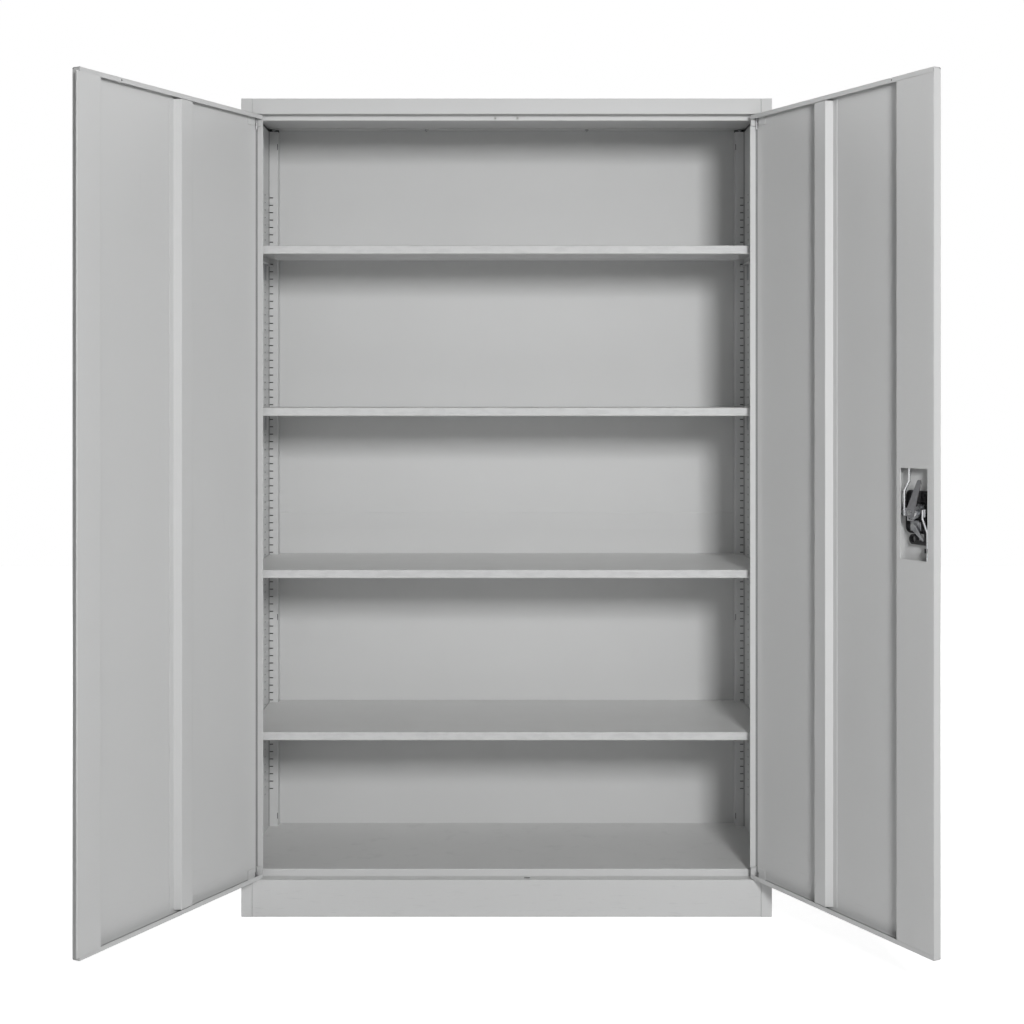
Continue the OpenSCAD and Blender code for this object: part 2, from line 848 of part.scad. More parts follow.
module right_door_skin() {
    h = housing_top + housing_bottom;
    color(paint) on_right_door() difference() {
        door_tray(door_t);
        translate([lock_x, 0, lock_z + (housing_top - housing_bottom) / 2]) along_y(-1, sheet + 1)
            offset_rect(housing_w, h, housing_corner, 2 * seam);
        for (end = [[upper_rod_dx[1], door_h - sheet - 1], [lower_rod_dx[2], -1]])
            translate([lock_x + end[0], rod_back, end[1]])
                cylinder(r = rod_d / 2 + guide_gap, h = sheet + 2);
    }
}

// Lock stile with the window over the lock
module right_door_stile() {
    x1 = door_w - window_in;
    z0 = lock_z - window_drop - window_h / 2;
    color(paint) on_right_door() difference() {
        along_z(stile_end, door_h - stile_end) fold([[door_w - sheet - seam, door_t - edge_flange],
            [door_w - sheet - seam, door_t], [right_stile_in, door_t],
            [right_stile_in - stile_slope, 2 * sheet],
            [right_stile_in - stile_slope - rib_foot, 2 * sheet]]);
        box([x1 - window_w, door_t - sheet - 1, z0], [x1, door_t + 1, z0 + window_h]);
    }
}

// Puts a thing drawn about the spindle, across and up, with Y running back into the door
module at_spindle() {
    on_right_door() translate([lock_x, 0, lock_z]) children();
}

// Escutcheon outside the skin, and the housing's walls and bosses inside it
module handle_housing() {
    mid = (housing_top - housing_bottom) / 2;
    h = housing_top + housing_bottom;
    color(black) at_spindle() difference() {
        union() {
            translate([0, 0, mid]) along_y(-rim_t, 0) offset_rect(housing_w, h, housing_corner, rim_w);
            difference() {
                translate([0, 0, mid]) along_y(-eps, housing_back)
                    round_rect(housing_w, h, housing_corner);
                translate([0, 0, mid]) along_y(housing_floor, housing_back + 1)
                    offset_rect(housing_w, h, housing_corner, -housing_wall);
            }
            pin_y(spindle_boss_r, 0, housing_back);
            translate([0, 0, -cylinder_drop]) pin_y(cylinder_d / 2 + cylinder_boss_wall, 0, housing_back);
            for (i = [0, 1]) translate([housing_screw_x[i], 0, housing_screw_z[i]])
                pin_y(screw_boss_r, 0, housing_back);
        }
        pin_y(spindle_w * sqrt(2) / 2 + guide_gap, -rim_t - 1, housing_back + 1);
        translate([0, 0, -cylinder_drop]) pin_y(cylinder_d / 2 + seam, -rim_t - 1, housing_back + 1);
    }
}

// Screws in the housing's two bosses
module housing_screws() {
    color(steel) at_spindle() for (i = [0, 1]) translate([housing_screw_x[i], 0, housing_screw_z[i]])
        difference() {
            pin_y(housing_screw_r, housing_back, housing_back + housing_screw_h);
            box([1 - housing_screw_r, housing_back + 1, -housing_screw_slot / 2],
                [housing_screw_r - 1, housing_back + housing_screw_h + 1, housing_screw_slot / 2]);
        }
}

// Lock cylinder: its round barrel, the collar outside, and the ribbed block behind the nut
module lock_cylinder() {
    y0 = housing_back + nut_t;
    rib_pitch = (block_x[1] - block_x[0]) / rib_count;
    color(zinc) at_spindle() translate([0, 0, -cylinder_drop]) difference() {
        union() {
            pin_y(cylinder_d / 2, cylinder_front, y0 + 1);
            pin_y(cylinder_d / 2 + collar_w, cylinder_front, -rim_t);
            box([block_x[0], y0, -block_bottom], [block_x[1], cylinder_end, block_top]);
        }
        for (i = [1:rib_count - 1]) translate([block_x[0] + i * rib_pitch, cylinder_end, 0])
            box([-groove_w / 2, -1, -block_bottom - 1], [groove_w / 2, 1, block_top + 1]);
        pin_y(plug_r + seam, cylinder_front - 1, cylinder_end + 1);
    }
}

// Flat hexagon nut that draws the cylinder into the housing
module cylinder_nut() {
    color(zinc) at_spindle() translate([0, 0, -cylinder_drop]) difference() {
        translate([0, housing_back, 0]) rotate([-90, 0, 0]) cylinder(r = nut_r, h = nut_t, $fn = 6);
        pin_y(cylinder_d / 2 + seam, housing_back - 1, housing_back + nut_t + 1);
    }
}

// The turning plug with its key slot
module lock_plug() {
    color(steel) at_spindle() translate([0, 0, -cylinder_drop]) difference() {
        pin_y(plug_r, cylinder_front + 0.5, plug_cam_back);
        box([-key_slot_w / 2, cylinder_front - 1, -key_slot_h / 2],
            [key_slot_w / 2, key_slot_end, key_slot_h / 2]);
    }
}

// The plug's cam: a flat arm that turns with the key, over the rods
module plug_cam() {
    color(zinc) at_spindle() translate([0, 0, -cylinder_drop])
        along_y(plug_cam_back, plug_cam_back + plug_cam_t)
            rotate(plug_cam_rest) arm(plug_cam_hub_r, plug_cam_w / 2, plug_cam_l);
}

// Black clip: a foot on the skin below the housing with a ring and the lower rod's eye, and a loop that
// laps over the housing
module rod_clip() {
    x = lower_rod_dx[1];
    low = clip_ring_z - clip_ring_r;
    y = housing_back + rod_clip_t;
    color(black) at_spindle() difference() {
        union() {
            along_y(sheet, y) {
                translate([clip_ring_x, clip_ring_z]) circle(r = clip_ring_r);
                translate([clip_ring_x, low]) square([x + clip_eye_w - clip_ring_x, clip_bar_h]);
                translate([x - clip_eye_w, clip_eye_z[0]]) square([2 * clip_eye_w, low + 1 - clip_eye_z[0]]);
            }
            box([x - clip_eye_w, sheet, clip_eye_z[0]], [x + clip_eye_w, clip_eye_back, clip_eye_z[1]]);
            along_y(housing_back, y) {
                translate(clip_loop) circle(r = clip_loop_r);
                translate([clip_loop[0] - clip_arm_w / 2, low]) square([clip_arm_w, clip_loop[1] - low]);
            }
        }
        translate([clip_ring_x, 0, clip_ring_z]) pin_y(clip_ring_r - clip_wall, sheet - 1, y + 1);
        translate([clip_loop[0], 0, clip_loop[1]]) pin_y(clip_loop_r - clip_wall, sheet - 1, y + 1);
        translate([x, rod_back, clip_eye_z[0] - 1])
            cylinder(r = rod_d / 2 + guide_gap, h = clip_eye_z[1] - clip_eye_z[0] + 2);
    }
}

// Nylon guides for the rods at the door's top and bottom
module rod_guides() {
    color(nylon) on_right_door() {
        for (end = [[upper_rod_dx[1], door_h - sheet - guide_h], [lower_rod_dx[2], sheet]])
            translate([lock_x + end[0], 0, end[1]]) difference() {
                box([-guide_w / 2, bend_out, 0], [guide_w / 2, door_t - bend_out, guide_h]);
                translate([0, rod_back, -1]) cylinder(r = rod_d / 2 + guide_gap, h = guide_h + 2);
            }
    }
}

// Handle outside the door: level while unlocked, upright while locked
module handle_lever() {
    color(black) at_spindle() difference() {
        union() {
            pin_y(hub_r, handle_front + hub_step, -rim_t - door_clear);
            pin_y(hub_r - hub_step, handle_front, handle_front + hub_step + eps);
            along_y(handle_front + grip_in, handle_front + grip_in + grip_t)
                rotate(180) arm(grip_root_r, grip_r, grip_l);
        }
        spindle_hole(spindle_front, 0);
    }
}

// Square spindle from the handle to the cam plate
module spindle() {
    w = spindle_w / 2 - seam / 2;
    color(steel) at_spindle() box([-w, spindle_front, -w], [w, spindle_end, w]);
}

module spindle_hole(y0, y1) {
    box([-spindle_w / 2, y0, -spindle_w / 2], [spindle_w / 2, y1, spindle_w / 2]);
}

// Middle latch: a tapered tongue that swings behind the other door's closing lip
module latch_tongue() {
    color(zinc) at_spindle() difference() {
        along_y(tongue_back, tongue_back + tongue_t)
            rotate(tongue_rest) arm(tongue_hub_r, tongue_w / 2, tongue_l);
        spindle_hole(tongue_back - 1, tongue_back + tongue_t + 1);
    }
}

// Sleeve that spaces the tongue off the cam plate
module spindle_sleeve() {
    color(zinc) at_spindle() difference() {
        pin_y(sleeve_r, cam_back + cam_t, tongue_back);
        spindle_hole(cam_back + cam_t - 1, tongue_back + 1);
    }
}

// Cam plate with the two pins that drive the rods' yokes
module cam_plate() {
    a = turn / 2;
    color(zinc) at_spindle() difference() {
        union() {
            along_y(cam_back, cam_back + cam_t) {
                rotate(a) arm(cam_hub_r, cam_lobe_r, crank_r);
                rotate(a + 180) arm(cam_hub_r, cam_lobe_r, crank_r);
            }
            for (b = [a, a + 180]) translate([crank_r * cos(b), 0, crank_r * sin(b)])
                pin_y(crank_pin_d / 2, cam_back, yoke_back + yoke_t + pin_proud);
        }
        spindle_hole(cam_back - 1, cam_back + cam_t + 1);
    }
}

module spindle_screw() {
    color(steel) at_spindle() difference() {
        pin_y(spindle_head_r, spindle_end, spindle_end + spindle_head_h);
        for (a = [0, 90]) rotate([0, a, 0])
            box([-cross_l / 2, spindle_end + cross_floor, -cross_w / 2],
                [cross_l / 2, spindle_end + spindle_head_h + 1, cross_w / 2]);
    }
}

// A round rod that follows a path drawn across and up, with a knuckle at each bend
module bent_rod(p) {
    translate([0, rod_back, 0]) rotate([90, 0, 0]) {
        for (i = [1:len(p) - 1]) translate(p[i - 1])
            rotate(atan2(p[i][1] - p[i - 1][1], p[i][0] - p[i - 1][0])) rotate([0, 90, 0])
                cylinder(r = rod_d / 2, h = norm(p[i] - p[i - 1]));
        for (i = [1:len(p) - 2]) translate(p[i]) sphere(r = rod_d / 2 + knuckle);
    }
}

// The upper rod's yoke: a plate level with the spindle that carries the rod, stepped down to a part
// with a level slot for the cam's pin. Its outer end lies at x = -reach
module yoke(reach) {
    pin = crank_r * cos(turn / 2);
    near = -pin + crank_pin_d / 2 + yoke_end + pin_play;
    far = -crank_r - crank_pin_d / 2 - pin_play;
    slot_r = crank_pin_d / 2 + yoke_slot_gap;
    difference() {
        union() {
            box([-reach, yoke_back, -yoke_plate_h / 2], [far, yoke_back + yoke_t, yoke_plate_h / 2]);
            box([far - yoke_step, yoke_back, -pin - yoke_h / 2],
                [near, yoke_back + yoke_t, -pin + yoke_h / 2]);
        }
        box([far, yoke_back - 1, -pin - slot_r], [near - yoke_end, yoke_back + yoke_t + 1, -pin + slot_r]);
    }
}

// The block that joins a rod at x to its yoke
module rod_neck(x) {
    box([x - neck_w / 2, yoke_back, -yoke_plate_h / 2], [x + neck_w / 2, rod_back, yoke_plate_h / 2]);
}

// Rod to the header, with its jog above the lock
module upper_rod() {
    dx = upper_rod_dx;
    color(zinc) at_spindle() {
        bent_rod([[dx[0], 1 - yoke_plate_h / 2], [dx[0], upper_jog_z[0]], [dx[1], upper_jog_z[1]],
            [dx[1], door_h - rod_short - lock_z]]);
        yoke(upper_yoke_reach);
        rod_neck(dx[0]);
    }
}

// Rod to the plinth, with the jogs that bring it to its slot
module lower_rod() {
    dx = lower_rod_dx;
    z = lower_jog_z;
    color(zinc) at_spindle() {
        bent_rod([[dx[0], yoke_plate_h / 2 - 1], [dx[0], z[0]], [dx[1], z[1]], [dx[1], z[2]],
            [dx[2], z[3]], [dx[2], rod_short - lock_z]]);
        mirror([1, 0, 0]) mirror([0, 0, 1]) yoke(lower_yoke_reach);
        rod_neck(dx[0]);
    }
}

left_side_panel();
right_side_panel();
top_panel();
bottom_panel();
plinth();
upper_back_panel();
lower_back_panel();
left_front_upright();
right_front_upright();
left_rear_upright();
right_rear_upright();
shelf_1();
shelf_2();
shelf_3();
shelf_4();
shelf_1_stiffener();
shelf_2_stiffener();
shelf_3_stiffener();
shelf_4_stiffener();
shelf_1_clips();
shelf_2_clips();
shelf_3_clips();
shelf_4_clips();
back_screws();
door_buffers();
pivot_bushes();
left_door_skin();
left_door_stile();
left_door_stiffener();
left_door_pivot_brackets();
left_door_pivot_pins();
right_door_skin();
right_door_stile();
right_door_stiffener();
right_door_pivot_brackets();
right_door_pivot_pins();
handle_housing();
housing_screws();
lock_cylinder();
cylinder_nut();
rod_clip();
rod_guides();
lock_plug();
plug_cam();
handle_lever();
spindle();
cam_plate();
spindle_sleeve();
latch_tongue();
spindle_screw();
upper_rod();
lower_rod();
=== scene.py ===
"""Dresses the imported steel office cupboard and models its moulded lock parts, light and camera."""
import logging
import math
from dataclasses import dataclass, field
from enum import Enum
from typing import Callable, Iterable

import bmesh
import bpy
from mathutils import Matrix, Vector


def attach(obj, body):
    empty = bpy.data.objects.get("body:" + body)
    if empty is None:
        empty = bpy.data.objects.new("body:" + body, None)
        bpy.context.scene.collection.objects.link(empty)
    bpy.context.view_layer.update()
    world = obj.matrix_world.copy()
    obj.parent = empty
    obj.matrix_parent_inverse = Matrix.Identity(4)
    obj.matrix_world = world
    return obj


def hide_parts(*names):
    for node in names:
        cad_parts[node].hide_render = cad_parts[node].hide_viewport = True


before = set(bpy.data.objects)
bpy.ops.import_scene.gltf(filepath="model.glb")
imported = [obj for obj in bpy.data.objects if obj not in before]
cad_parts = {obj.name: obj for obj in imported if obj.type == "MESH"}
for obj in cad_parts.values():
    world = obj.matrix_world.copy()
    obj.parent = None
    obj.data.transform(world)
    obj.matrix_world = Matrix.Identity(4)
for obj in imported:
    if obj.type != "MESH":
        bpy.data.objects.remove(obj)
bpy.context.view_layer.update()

MM = 0.001
WELD = 0.002 * MM  # vertices nearer than this are one
OVERRUN = 1.0  # millimetres that a cutter runs past what it cuts
QUARTER = math.radians(90.0)
OPEN_ANGLE = math.radians(118.5)
PIVOT = (0.5665, 0.005, 0.0)
SPINDLE = (0.0585, 0.0, 0.948)
log = logging.getLogger("cupboard")

Pair = tuple[float, float]
Colour = tuple[float, float, float]
Point = tuple[float, float, float]
Socket = bpy.types.NodeSocket
ORIGIN: Point = (0.0, 0.0, 0.0)
EVEN: Point = (1.0, 1.0, 1.0)
RISING: Pair = (0.0, 1.0)
FALLING: Pair = (1.0, 0.0)
WHITE = (1.0, 1.0, 1.0, 1.0)


class Side(Enum):
    """Which of the two doors, as one faces the cupboard."""

    LEFT = -1
    RIGHT = 1


# Materials


@dataclass(frozen=True)
class Pattern:
    """A noise, and the shares that its values between two limits are spread over."""

    scale: float
    detail: float = 3.0
    rough: float = 0.55
    limits: Pair = (0.3, 0.7)
    shares: Pair = RISING


@dataclass(frozen=True)
class Relief:
    """How far a noise stands out of a surface, in metres, and how much of that shows."""

    height: float
    strength: float


def around(middle: float, drift: Pair) -> Pair:
    """The two values that lie a drift away from a middle."""
    return middle + drift[0], middle + drift[1]


def tinted(colour: Colour, share: float) -> Colour:
    """A colour made darker or lighter by a share."""
    return tuple(channel * share for channel in colour)


class Recipe:
    """Builds one material's node tree around a Principled shader."""

    EDGE_SAMPLES = 4
    EDGE_TURN: Pair = (0.93, 0.995)

    def __init__(self, name: str) -> None:
        """Starts an empty recipe.

        Args:
            name: the material's name.
        """
        self.material = bpy.data.materials.new(name)
        self.material.use_nodes = True
        self.tree = self.material.node_tree
        self.shader = self.tree.nodes["Principled BSDF"]
        self.coord = self.tree.nodes.new("ShaderNodeTexCoord")

    def node(self, kind: str, **sockets: object) -> bpy.types.Node:
        """Adds a node and fills its inputs.

        Args:
            kind: the node's type name without its ShaderNode prefix.
            sockets: inputs by name, with spaces as underscores: a number, a colour or a socket to link.

        Returns:
            The new node.
        """
        made = self.tree.nodes.new("ShaderNode" + kind)
        for key, value in sockets.items():
            self.feed(made, key.replace("_", " "), value)
        return made

    def feed(self, node: bpy.types.Node, socket: str | int, value: object) -> None:
        """Links a socket to an input, or sets the input's value."""
        if isinstance(value, Socket):
            self.tree.links.new(value, node.inputs[socket])
        else:
            node.inputs[socket].default_value = value

    def place(self, scale: Point = EVEN, turn: float = 0.0, shift: Point = ORIGIN) -> Socket:
        """Object coordinates, scaled, turned about Z and shifted.

        Args:
            scale: stretch of the pattern along each direction.
            turn: angle about Z in radians.
            shift: offset in metres.

        Returns:
            The vector socket.
        """
        mapping = self.node("Mapping", Vector=self.coord.outputs["Object"], Location=shift,
                            Rotation=(0.0, 0.0, turn), Scale=scale)
        return mapping.outputs["Vector"]

    def noise(self, where: Socket, kind: Pattern) -> Socket:
        """A pattern's plain noise, from 0 to 1."""
        made = self.node("TexNoise", Vector=where, Scale=kind.scale, Detail=kind.detail, Roughness=kind.rough)
        return made.outputs["Fac"]

    def span(self, value: Socket, limits: Pair, shares: Pair) -> Socket:
        """Spreads the values between two limits over two shares, and holds it there beyond them."""
        made = self.node("MapRange")
        made.clamp = True
        names = ("Value", "From Min", "From Max", "To Min", "To Max")
        for name, number in zip(names, (value, *limits, *shares)):
            self.feed(made, name, number)
        return made.outputs["Result"]

    def pattern(self, where: Socket, kind: Pattern, shares: Pair | None = None) -> Socket:
        """A pattern's noise, spread over its shares.

        Args:
            where: the coordinates.
            kind: the pattern.
            shares: the two shares, where they aren't the pattern's own.

        Returns:
            The value's socket.
        """
        return self.span(self.noise(where, kind), kind.limits, shares or kind.shares)

    def maths(self, how: str, first: object, second: object = 0.0) -> Socket:
        """One sum of two numbers or sockets."""
        made = self.node("Math")
        made.operation = how
        self.feed(made, 0, first)
        self.feed(made, 1, second)
        return made.outputs[0]

    def blend(self, share: object, first: object, second: object) -> Socket:
        """A colour between first and second.

        Args:
            share: how much of the second, from 0 to 1.
            first: colour or socket.
            second: colour or socket.

        Returns:
            The colour socket.
        """
        made = self.node("Mix")
        made.data_type = "RGBA"
        self.feed(made, "Factor", share)
        for index, value in ((6, first), (7, second)):
            self.feed(made, index, (*value, 1.0) if isinstance(value, tuple) else value)
        return made.outputs[2]

    def bump(self, height: Socket, relief: Relief, under: Socket | None = None) -> Socket:
        """Raises the surface by a height, over an earlier bump if there is one."""
        made = self.node("Bump", Height=height, Distance=relief.height, Strength=relief.strength)
        if under is not None:
            self.feed(made, "Normal", under)
        return made.outputs["Normal"]

    def edges(self, radius: float) -> Socket:
        """How near a point lies to a sharp edge, from 0 to 1, within a radius in metres."""
        eased = self.node("Bevel", Radius=radius)
        eased.samples = self.EDGE_SAMPLES
        flat = self.node("NewGeometry")
        turn = self.node("VectorMath")
        turn.operation = "DOT_PRODUCT"
        self.feed(turn, 0, eased.outputs["Normal"])
        self.feed(turn, 1, flat.outputs["Normal"])
        return self.span(turn.outputs["Value"], self.EDGE_TURN, FALLING)

    def finish(self, **sockets: object) -> bpy.types.Material:
        """Fills the shader's inputs and returns the material."""
        for key, value in sockets.items():
            plain = key == "Base_Color" and isinstance(value, tuple)
            self.feed(self.shader, key.replace("_", " "), (*value, 1.0) if plain else value)
        return self.material


@dataclass(frozen=True)
class Zone:
    """A box of space, the same left and right of the middle, in which a finish is darker."""

    share: float
    x: Pair | None = None
    y: Pair | None = None
    z: Pair | None = None
    soft: float = 0.0003

    def mask(self, r: Recipe, where: bpy.types.Node) -> Socket:
        """How dark a point is.

        Args:
            r: the recipe that the nodes go into.
            where: a node that gives the point's X, Y and Z.

        Returns:
            The share inside the box, and 0 outside it.
        """
        result: object = self.share
        for name, limits in (("X", self.x), ("Y", self.y), ("Z", self.z)):
            if limits is None:
                continue
            at = where.outputs[name]
            if name == "X":
                at = r.maths("ABSOLUTE", at)
            low, high = limits
            inside = r.maths("MULTIPLY", r.span(at, (low - self.soft, low), RISING),
                             r.span(at, (high, high + self.soft), FALLING))
            result = r.maths("MULTIPLY", inside, result)
        return result


@dataclass(frozen=True)
class PowderCoat:
    """Fine-textured light grey powder coat on folded sheet steel."""

    name: str
    colour: Colour = (0.656, 0.660, 0.659)
    scuffed: Colour = (0.56, 0.565, 0.565)
    # Colour of the painted light on faces that look up.
    top_light_colour: Colour = (0.80, 0.80, 0.79)
    # Colour of the dark zones: dark seam lines, and painted shade in cavities, corners and under edges.
    seam_and_shade: Colour = (0.05, 0.05, 0.052)
    gloss: float = 0.5
    roughness: float = 0.42
    drift: Pair = (-0.05, 0.05)
    mark_roughness: float = 0.3
    sheen: Pattern = Pattern(14.0, 4.0)
    tones: Pair = (0.975, 1.02)
    clouds: Pattern = Pattern(2.3, 2.0, shares=(0.0, 0.55))
    specks: Pattern = Pattern(900.0, 1.0, limits=(0.35, 0.65), shares=(0.0, 0.45))
    peel: Pattern = Pattern(620.0, 2.0, 0.6)
    peel_relief: Relief = Relief(0.00006, 0.5)
    wave: float = 5.0
    wave_relief: Relief = Relief(0.0012, 0.3)
    wear: float = 0.25
    scuffs: Pattern = Pattern(9.0, 6.0, 0.7, (0.66, 0.74))
    scuff_stretch: Point = (6.0, 6.0, 0.8)
    turn: float = 0.0
    home: Point = ORIGIN
    seed: float = 0.0
    seed_ways: Point = (1.0, 0.7, 1.3)
    kick: float = 0.0
    kick_start: float = 0.01
    streaks: Pattern = Pattern(11.0, 5.0, 0.65, (0.56, 0.7), (0.0, 0.6))
    streak_stretch: Point = (2.0, 2.0, 16.0)
    front: float | None = None
    rub_depth: float = 0.014
    rubs: Pattern = Pattern(30.0, 4.0, limits=(0.45, 0.62), shares=(0.0, 0.5))
    rub_stretch: Point = (1.0, 3.0, 3.0)
    # Painted light: faces that look up are painted lighter by this share, between these slopes of their
    # normal, and clouded.
    top_light: float = 0.0
    top_light_slopes: Pair = (0.6, 0.95)
    top_light_clouds: Pattern = Pattern(2.3, 2.0, limits=(0.2, 0.8), shares=(0.75, 1.0))
    zones: tuple[Zone, ...] = ()

    def build(self) -> bpy.types.Material:
        """Makes the material.

        Returns:
            The paint, with orange peel, the sheet's slow waves, faint clouding and scuffs, shoe marks
            below the kick height, a rubbed edge along the front of a shelf, painted light on what faces up,
            and darker zones: dark seam lines, and painted shade in cavities, corners and under edges.
        """
        r = Recipe(self.name)
        here = r.place(turn=self.turn, shift=tuple(self.seed * way for way in self.seed_ways))
        rubbed = r.place(scale=self.scuff_stretch, turn=self.turn, shift=(self.seed, 0.0, self.seed))
        where = r.node("SeparateXYZ", Vector=r.place(turn=self.turn, shift=self.home))
        marks = r.pattern(rubbed, self.scuffs, (0.0, self.wear))
        if self.kick:
            streaks = r.pattern(r.place(scale=self.streak_stretch), self.streaks)
            low = r.span(where.outputs["Z"], (self.kick_start, self.kick), FALLING)
            marks = r.maths("MAXIMUM", marks, r.maths("MULTIPLY", streaks, low))
        if self.front is not None:
            near = r.span(where.outputs["Y"], (self.front, self.front + self.rub_depth), FALLING)
            patches = r.pattern(r.place(scale=self.rub_stretch), self.rubs)
            marks = r.maths("MAXIMUM", marks, r.maths("MULTIPLY", patches, near))
        shade = r.maths("ADD", r.pattern(here, self.clouds), r.pattern(here, self.specks))
        tone = r.blend(shade, *(tinted(self.colour, share) for share in self.tones))
        # Painted light: faces that look up are painted lighter.
        if self.top_light:
            facing = r.node("SeparateXYZ", Vector=r.node("NewGeometry").outputs["Normal"])
            lit_top = r.span(facing.outputs["Z"], self.top_light_slopes, (0.0, self.top_light))
            tone = r.blend(r.maths("MULTIPLY", lit_top, r.pattern(here, self.top_light_clouds)), tone, self.top_light_colour)
        colour = r.blend(marks, tone, self.scuffed)
        # Darker zones: dark seam lines, and painted shade in cavities, corners and under edges.
        for zone in self.zones:
            colour = r.blend(zone.mask(r, where), colour, self.seam_and_shade)
        sheen = r.pattern(here, self.sheen, around(self.roughness, self.drift))
        rough = r.maths("ADD", sheen, r.maths("MULTIPLY", marks, self.mark_roughness))
        sheet = r.bump(r.noise(here, Pattern(self.wave, 1.0)), self.wave_relief)
        skin = r.bump(r.noise(here, self.peel), self.peel_relief, sheet)
        return r.finish(Base_Color=colour, Roughness=rough, Normal=skin, Specular_IOR_Level=self.gloss)


@dataclass(frozen=True)
class ZincPlate:
    """Bright zinc-plated steel with its faint bluish clouding."""

    name: str
    colour: Colour = (0.50, 0.505, 0.515)
    stained: Colour = (0.34, 0.35, 0.37)
    # Colour the edges are painted: a painted highlight, with worn plating there too.
    edge_wear_and_highlight: Colour = (0.66, 0.66, 0.67)
    edge_width: float = 0.0006
    roughness: float = 0.3
    drift: Pair = (-0.07, 0.1)
    clouds: Pattern = Pattern(60.0, 4.0, limits=(0.35, 0.68))
    dull: Pattern = Pattern(180.0)
    lines: Pattern = Pattern(900.0, 2.0)
    line_stretch: Point = (1.0, 1.0, 0.06)
    line_roughness: float = 0.06
    line_relief: Relief = Relief(0.00004, 0.5)

    def build(self) -> bpy.types.Material:
        """Makes the material.

        Returns:
            The plating, with clouded tint, rolling lines, small dull spots, and edges painted brighter: a
            painted highlight, with worn plating there too.
        """
        r = Recipe(self.name)
        here = r.place()
        lines = r.noise(r.place(scale=self.line_stretch), self.lines)
        dull = r.pattern(here, self.dull, around(self.roughness, self.drift))
        rough = r.maths("ADD", dull, r.maths("MULTIPLY", lines, self.line_roughness))
        plating = r.blend(r.pattern(here, self.clouds), self.colour, self.stained)
        # Edges painted brighter: a painted highlight, with worn plating there too.
        return r.finish(Base_Color=r.blend(r.edges(self.edge_width), plating, self.edge_wear_and_highlight), Roughness=rough,
                        Normal=r.bump(lines, self.line_relief), Metallic=1.0)


@dataclass(frozen=True)
class TurnedSteel:
    """Plain machined steel of pins, screws, the spring and the lock plug."""

    name: str
    colour: Colour = (0.52, 0.52, 0.53)
    stain_depth: float = 0.7
    stains: Pattern = Pattern(140.0, limits=(0.4, 0.7), shares=(0.0, 0.6))
    roughness: float = 0.28
    drift: Pair = (-0.06, 0.08)
    dull: Pattern = Pattern(300.0, 2.0)
    rings: Pattern = Pattern(2400.0, 1.0)
    ring_stretch: Point = (0.15, 0.15, 1.0)
    ring_relief: Relief = Relief(0.00003, 0.4)

    def build(self) -> bpy.types.Material:
        """Makes the material.

        Returns:
            The steel, with tool marks and thin oil stains.
        """
        r = Recipe(self.name)
        here = r.place()
        rings = r.noise(r.place(scale=self.ring_stretch), self.rings)
        rough = r.pattern(here, self.dull, around(self.roughness, self.drift))
        colour = r.blend(r.pattern(here, self.stains), self.colour, tinted(self.colour, self.stain_depth))
        return r.finish(Base_Color=colour, Roughness=rough, Normal=r.bump(rings, self.ring_relief),
                        Metallic=1.0)


@dataclass(frozen=True)
class MouldedPlastic:
    """Plastic or rubber with a spark-eroded grain."""

    name: str
    colour: Colour = (0.012, 0.012, 0.013)
    rubbed: Colour = (0.035, 0.035, 0.037)
    rubs: Pattern = Pattern(55.0, 5.0, 0.65, (0.55, 0.75), (0.0, 0.5))
    edge_width: float = 0.0009
    edge_wear: Pattern = Pattern(120.0, limits=(0.35, 0.6), shares=(0.2, 0.9))
    roughness: float = 0.45
    drift: Pair = (-0.07, 0.08)
    dull: Pattern = Pattern(90.0)
    grain: Pattern = Pattern(1600.0, 2.0)
    grain_relief: Relief = Relief(0.00006, 0.6)

    def build(self) -> bpy.types.Material:
        """Makes the material.

        Returns:
            The plastic, with its grain, a few rubbed patches, worn edges and uneven sheen.
        """
        r = Recipe(self.name)
        here = r.place()
        worn = r.maths("MULTIPLY", r.edges(self.edge_width), r.pattern(here, self.edge_wear))
        rub = r.maths("MAXIMUM", r.pattern(here, self.rubs), worn)
        rough = r.pattern(here, self.dull, around(self.roughness, self.drift))
        skin = r.bump(r.noise(here, self.grain), self.grain_relief)
        return r.finish(Base_Color=r.blend(rub, self.colour, self.rubbed), Roughness=rough, Normal=skin)


def nylon(name: str) -> bpy.types.Material:
    """Natural nylon, as the bushes and the rod guides have it."""
    return MouldedPlastic(name, colour=(0.62, 0.61, 0.57), rubbed=(0.5, 0.49, 0.46), roughness=0.4).build()


# Tools for modelling


class Join(Enum):
    """How one closed shape acts on another."""

    ADD = "UNION"
    CUT = "DIFFERENCE"


def clear_selection() -> None:
    """Leaves edit mode and deselects everything."""
    if bpy.context.object and bpy.context.object.mode != "OBJECT":
        bpy.ops.object.mode_set(mode="OBJECT")
    bpy.ops.object.select_all(action="DESELECT")


def dress(names: Iterable[str], material: bpy.types.Material) -> None:
    """Gives CAD nodes a material in place of their plain one.

    Args:
        names: the nodes.
        material: their new finish.
    """
    for name in names:
        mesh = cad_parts[name].data
        mesh.materials.clear()
        mesh.materials.append(material)


def mm(*numbers: float) -> Point:
    """Millimetres as metres."""
    return tuple(number * MM for number in numbers)


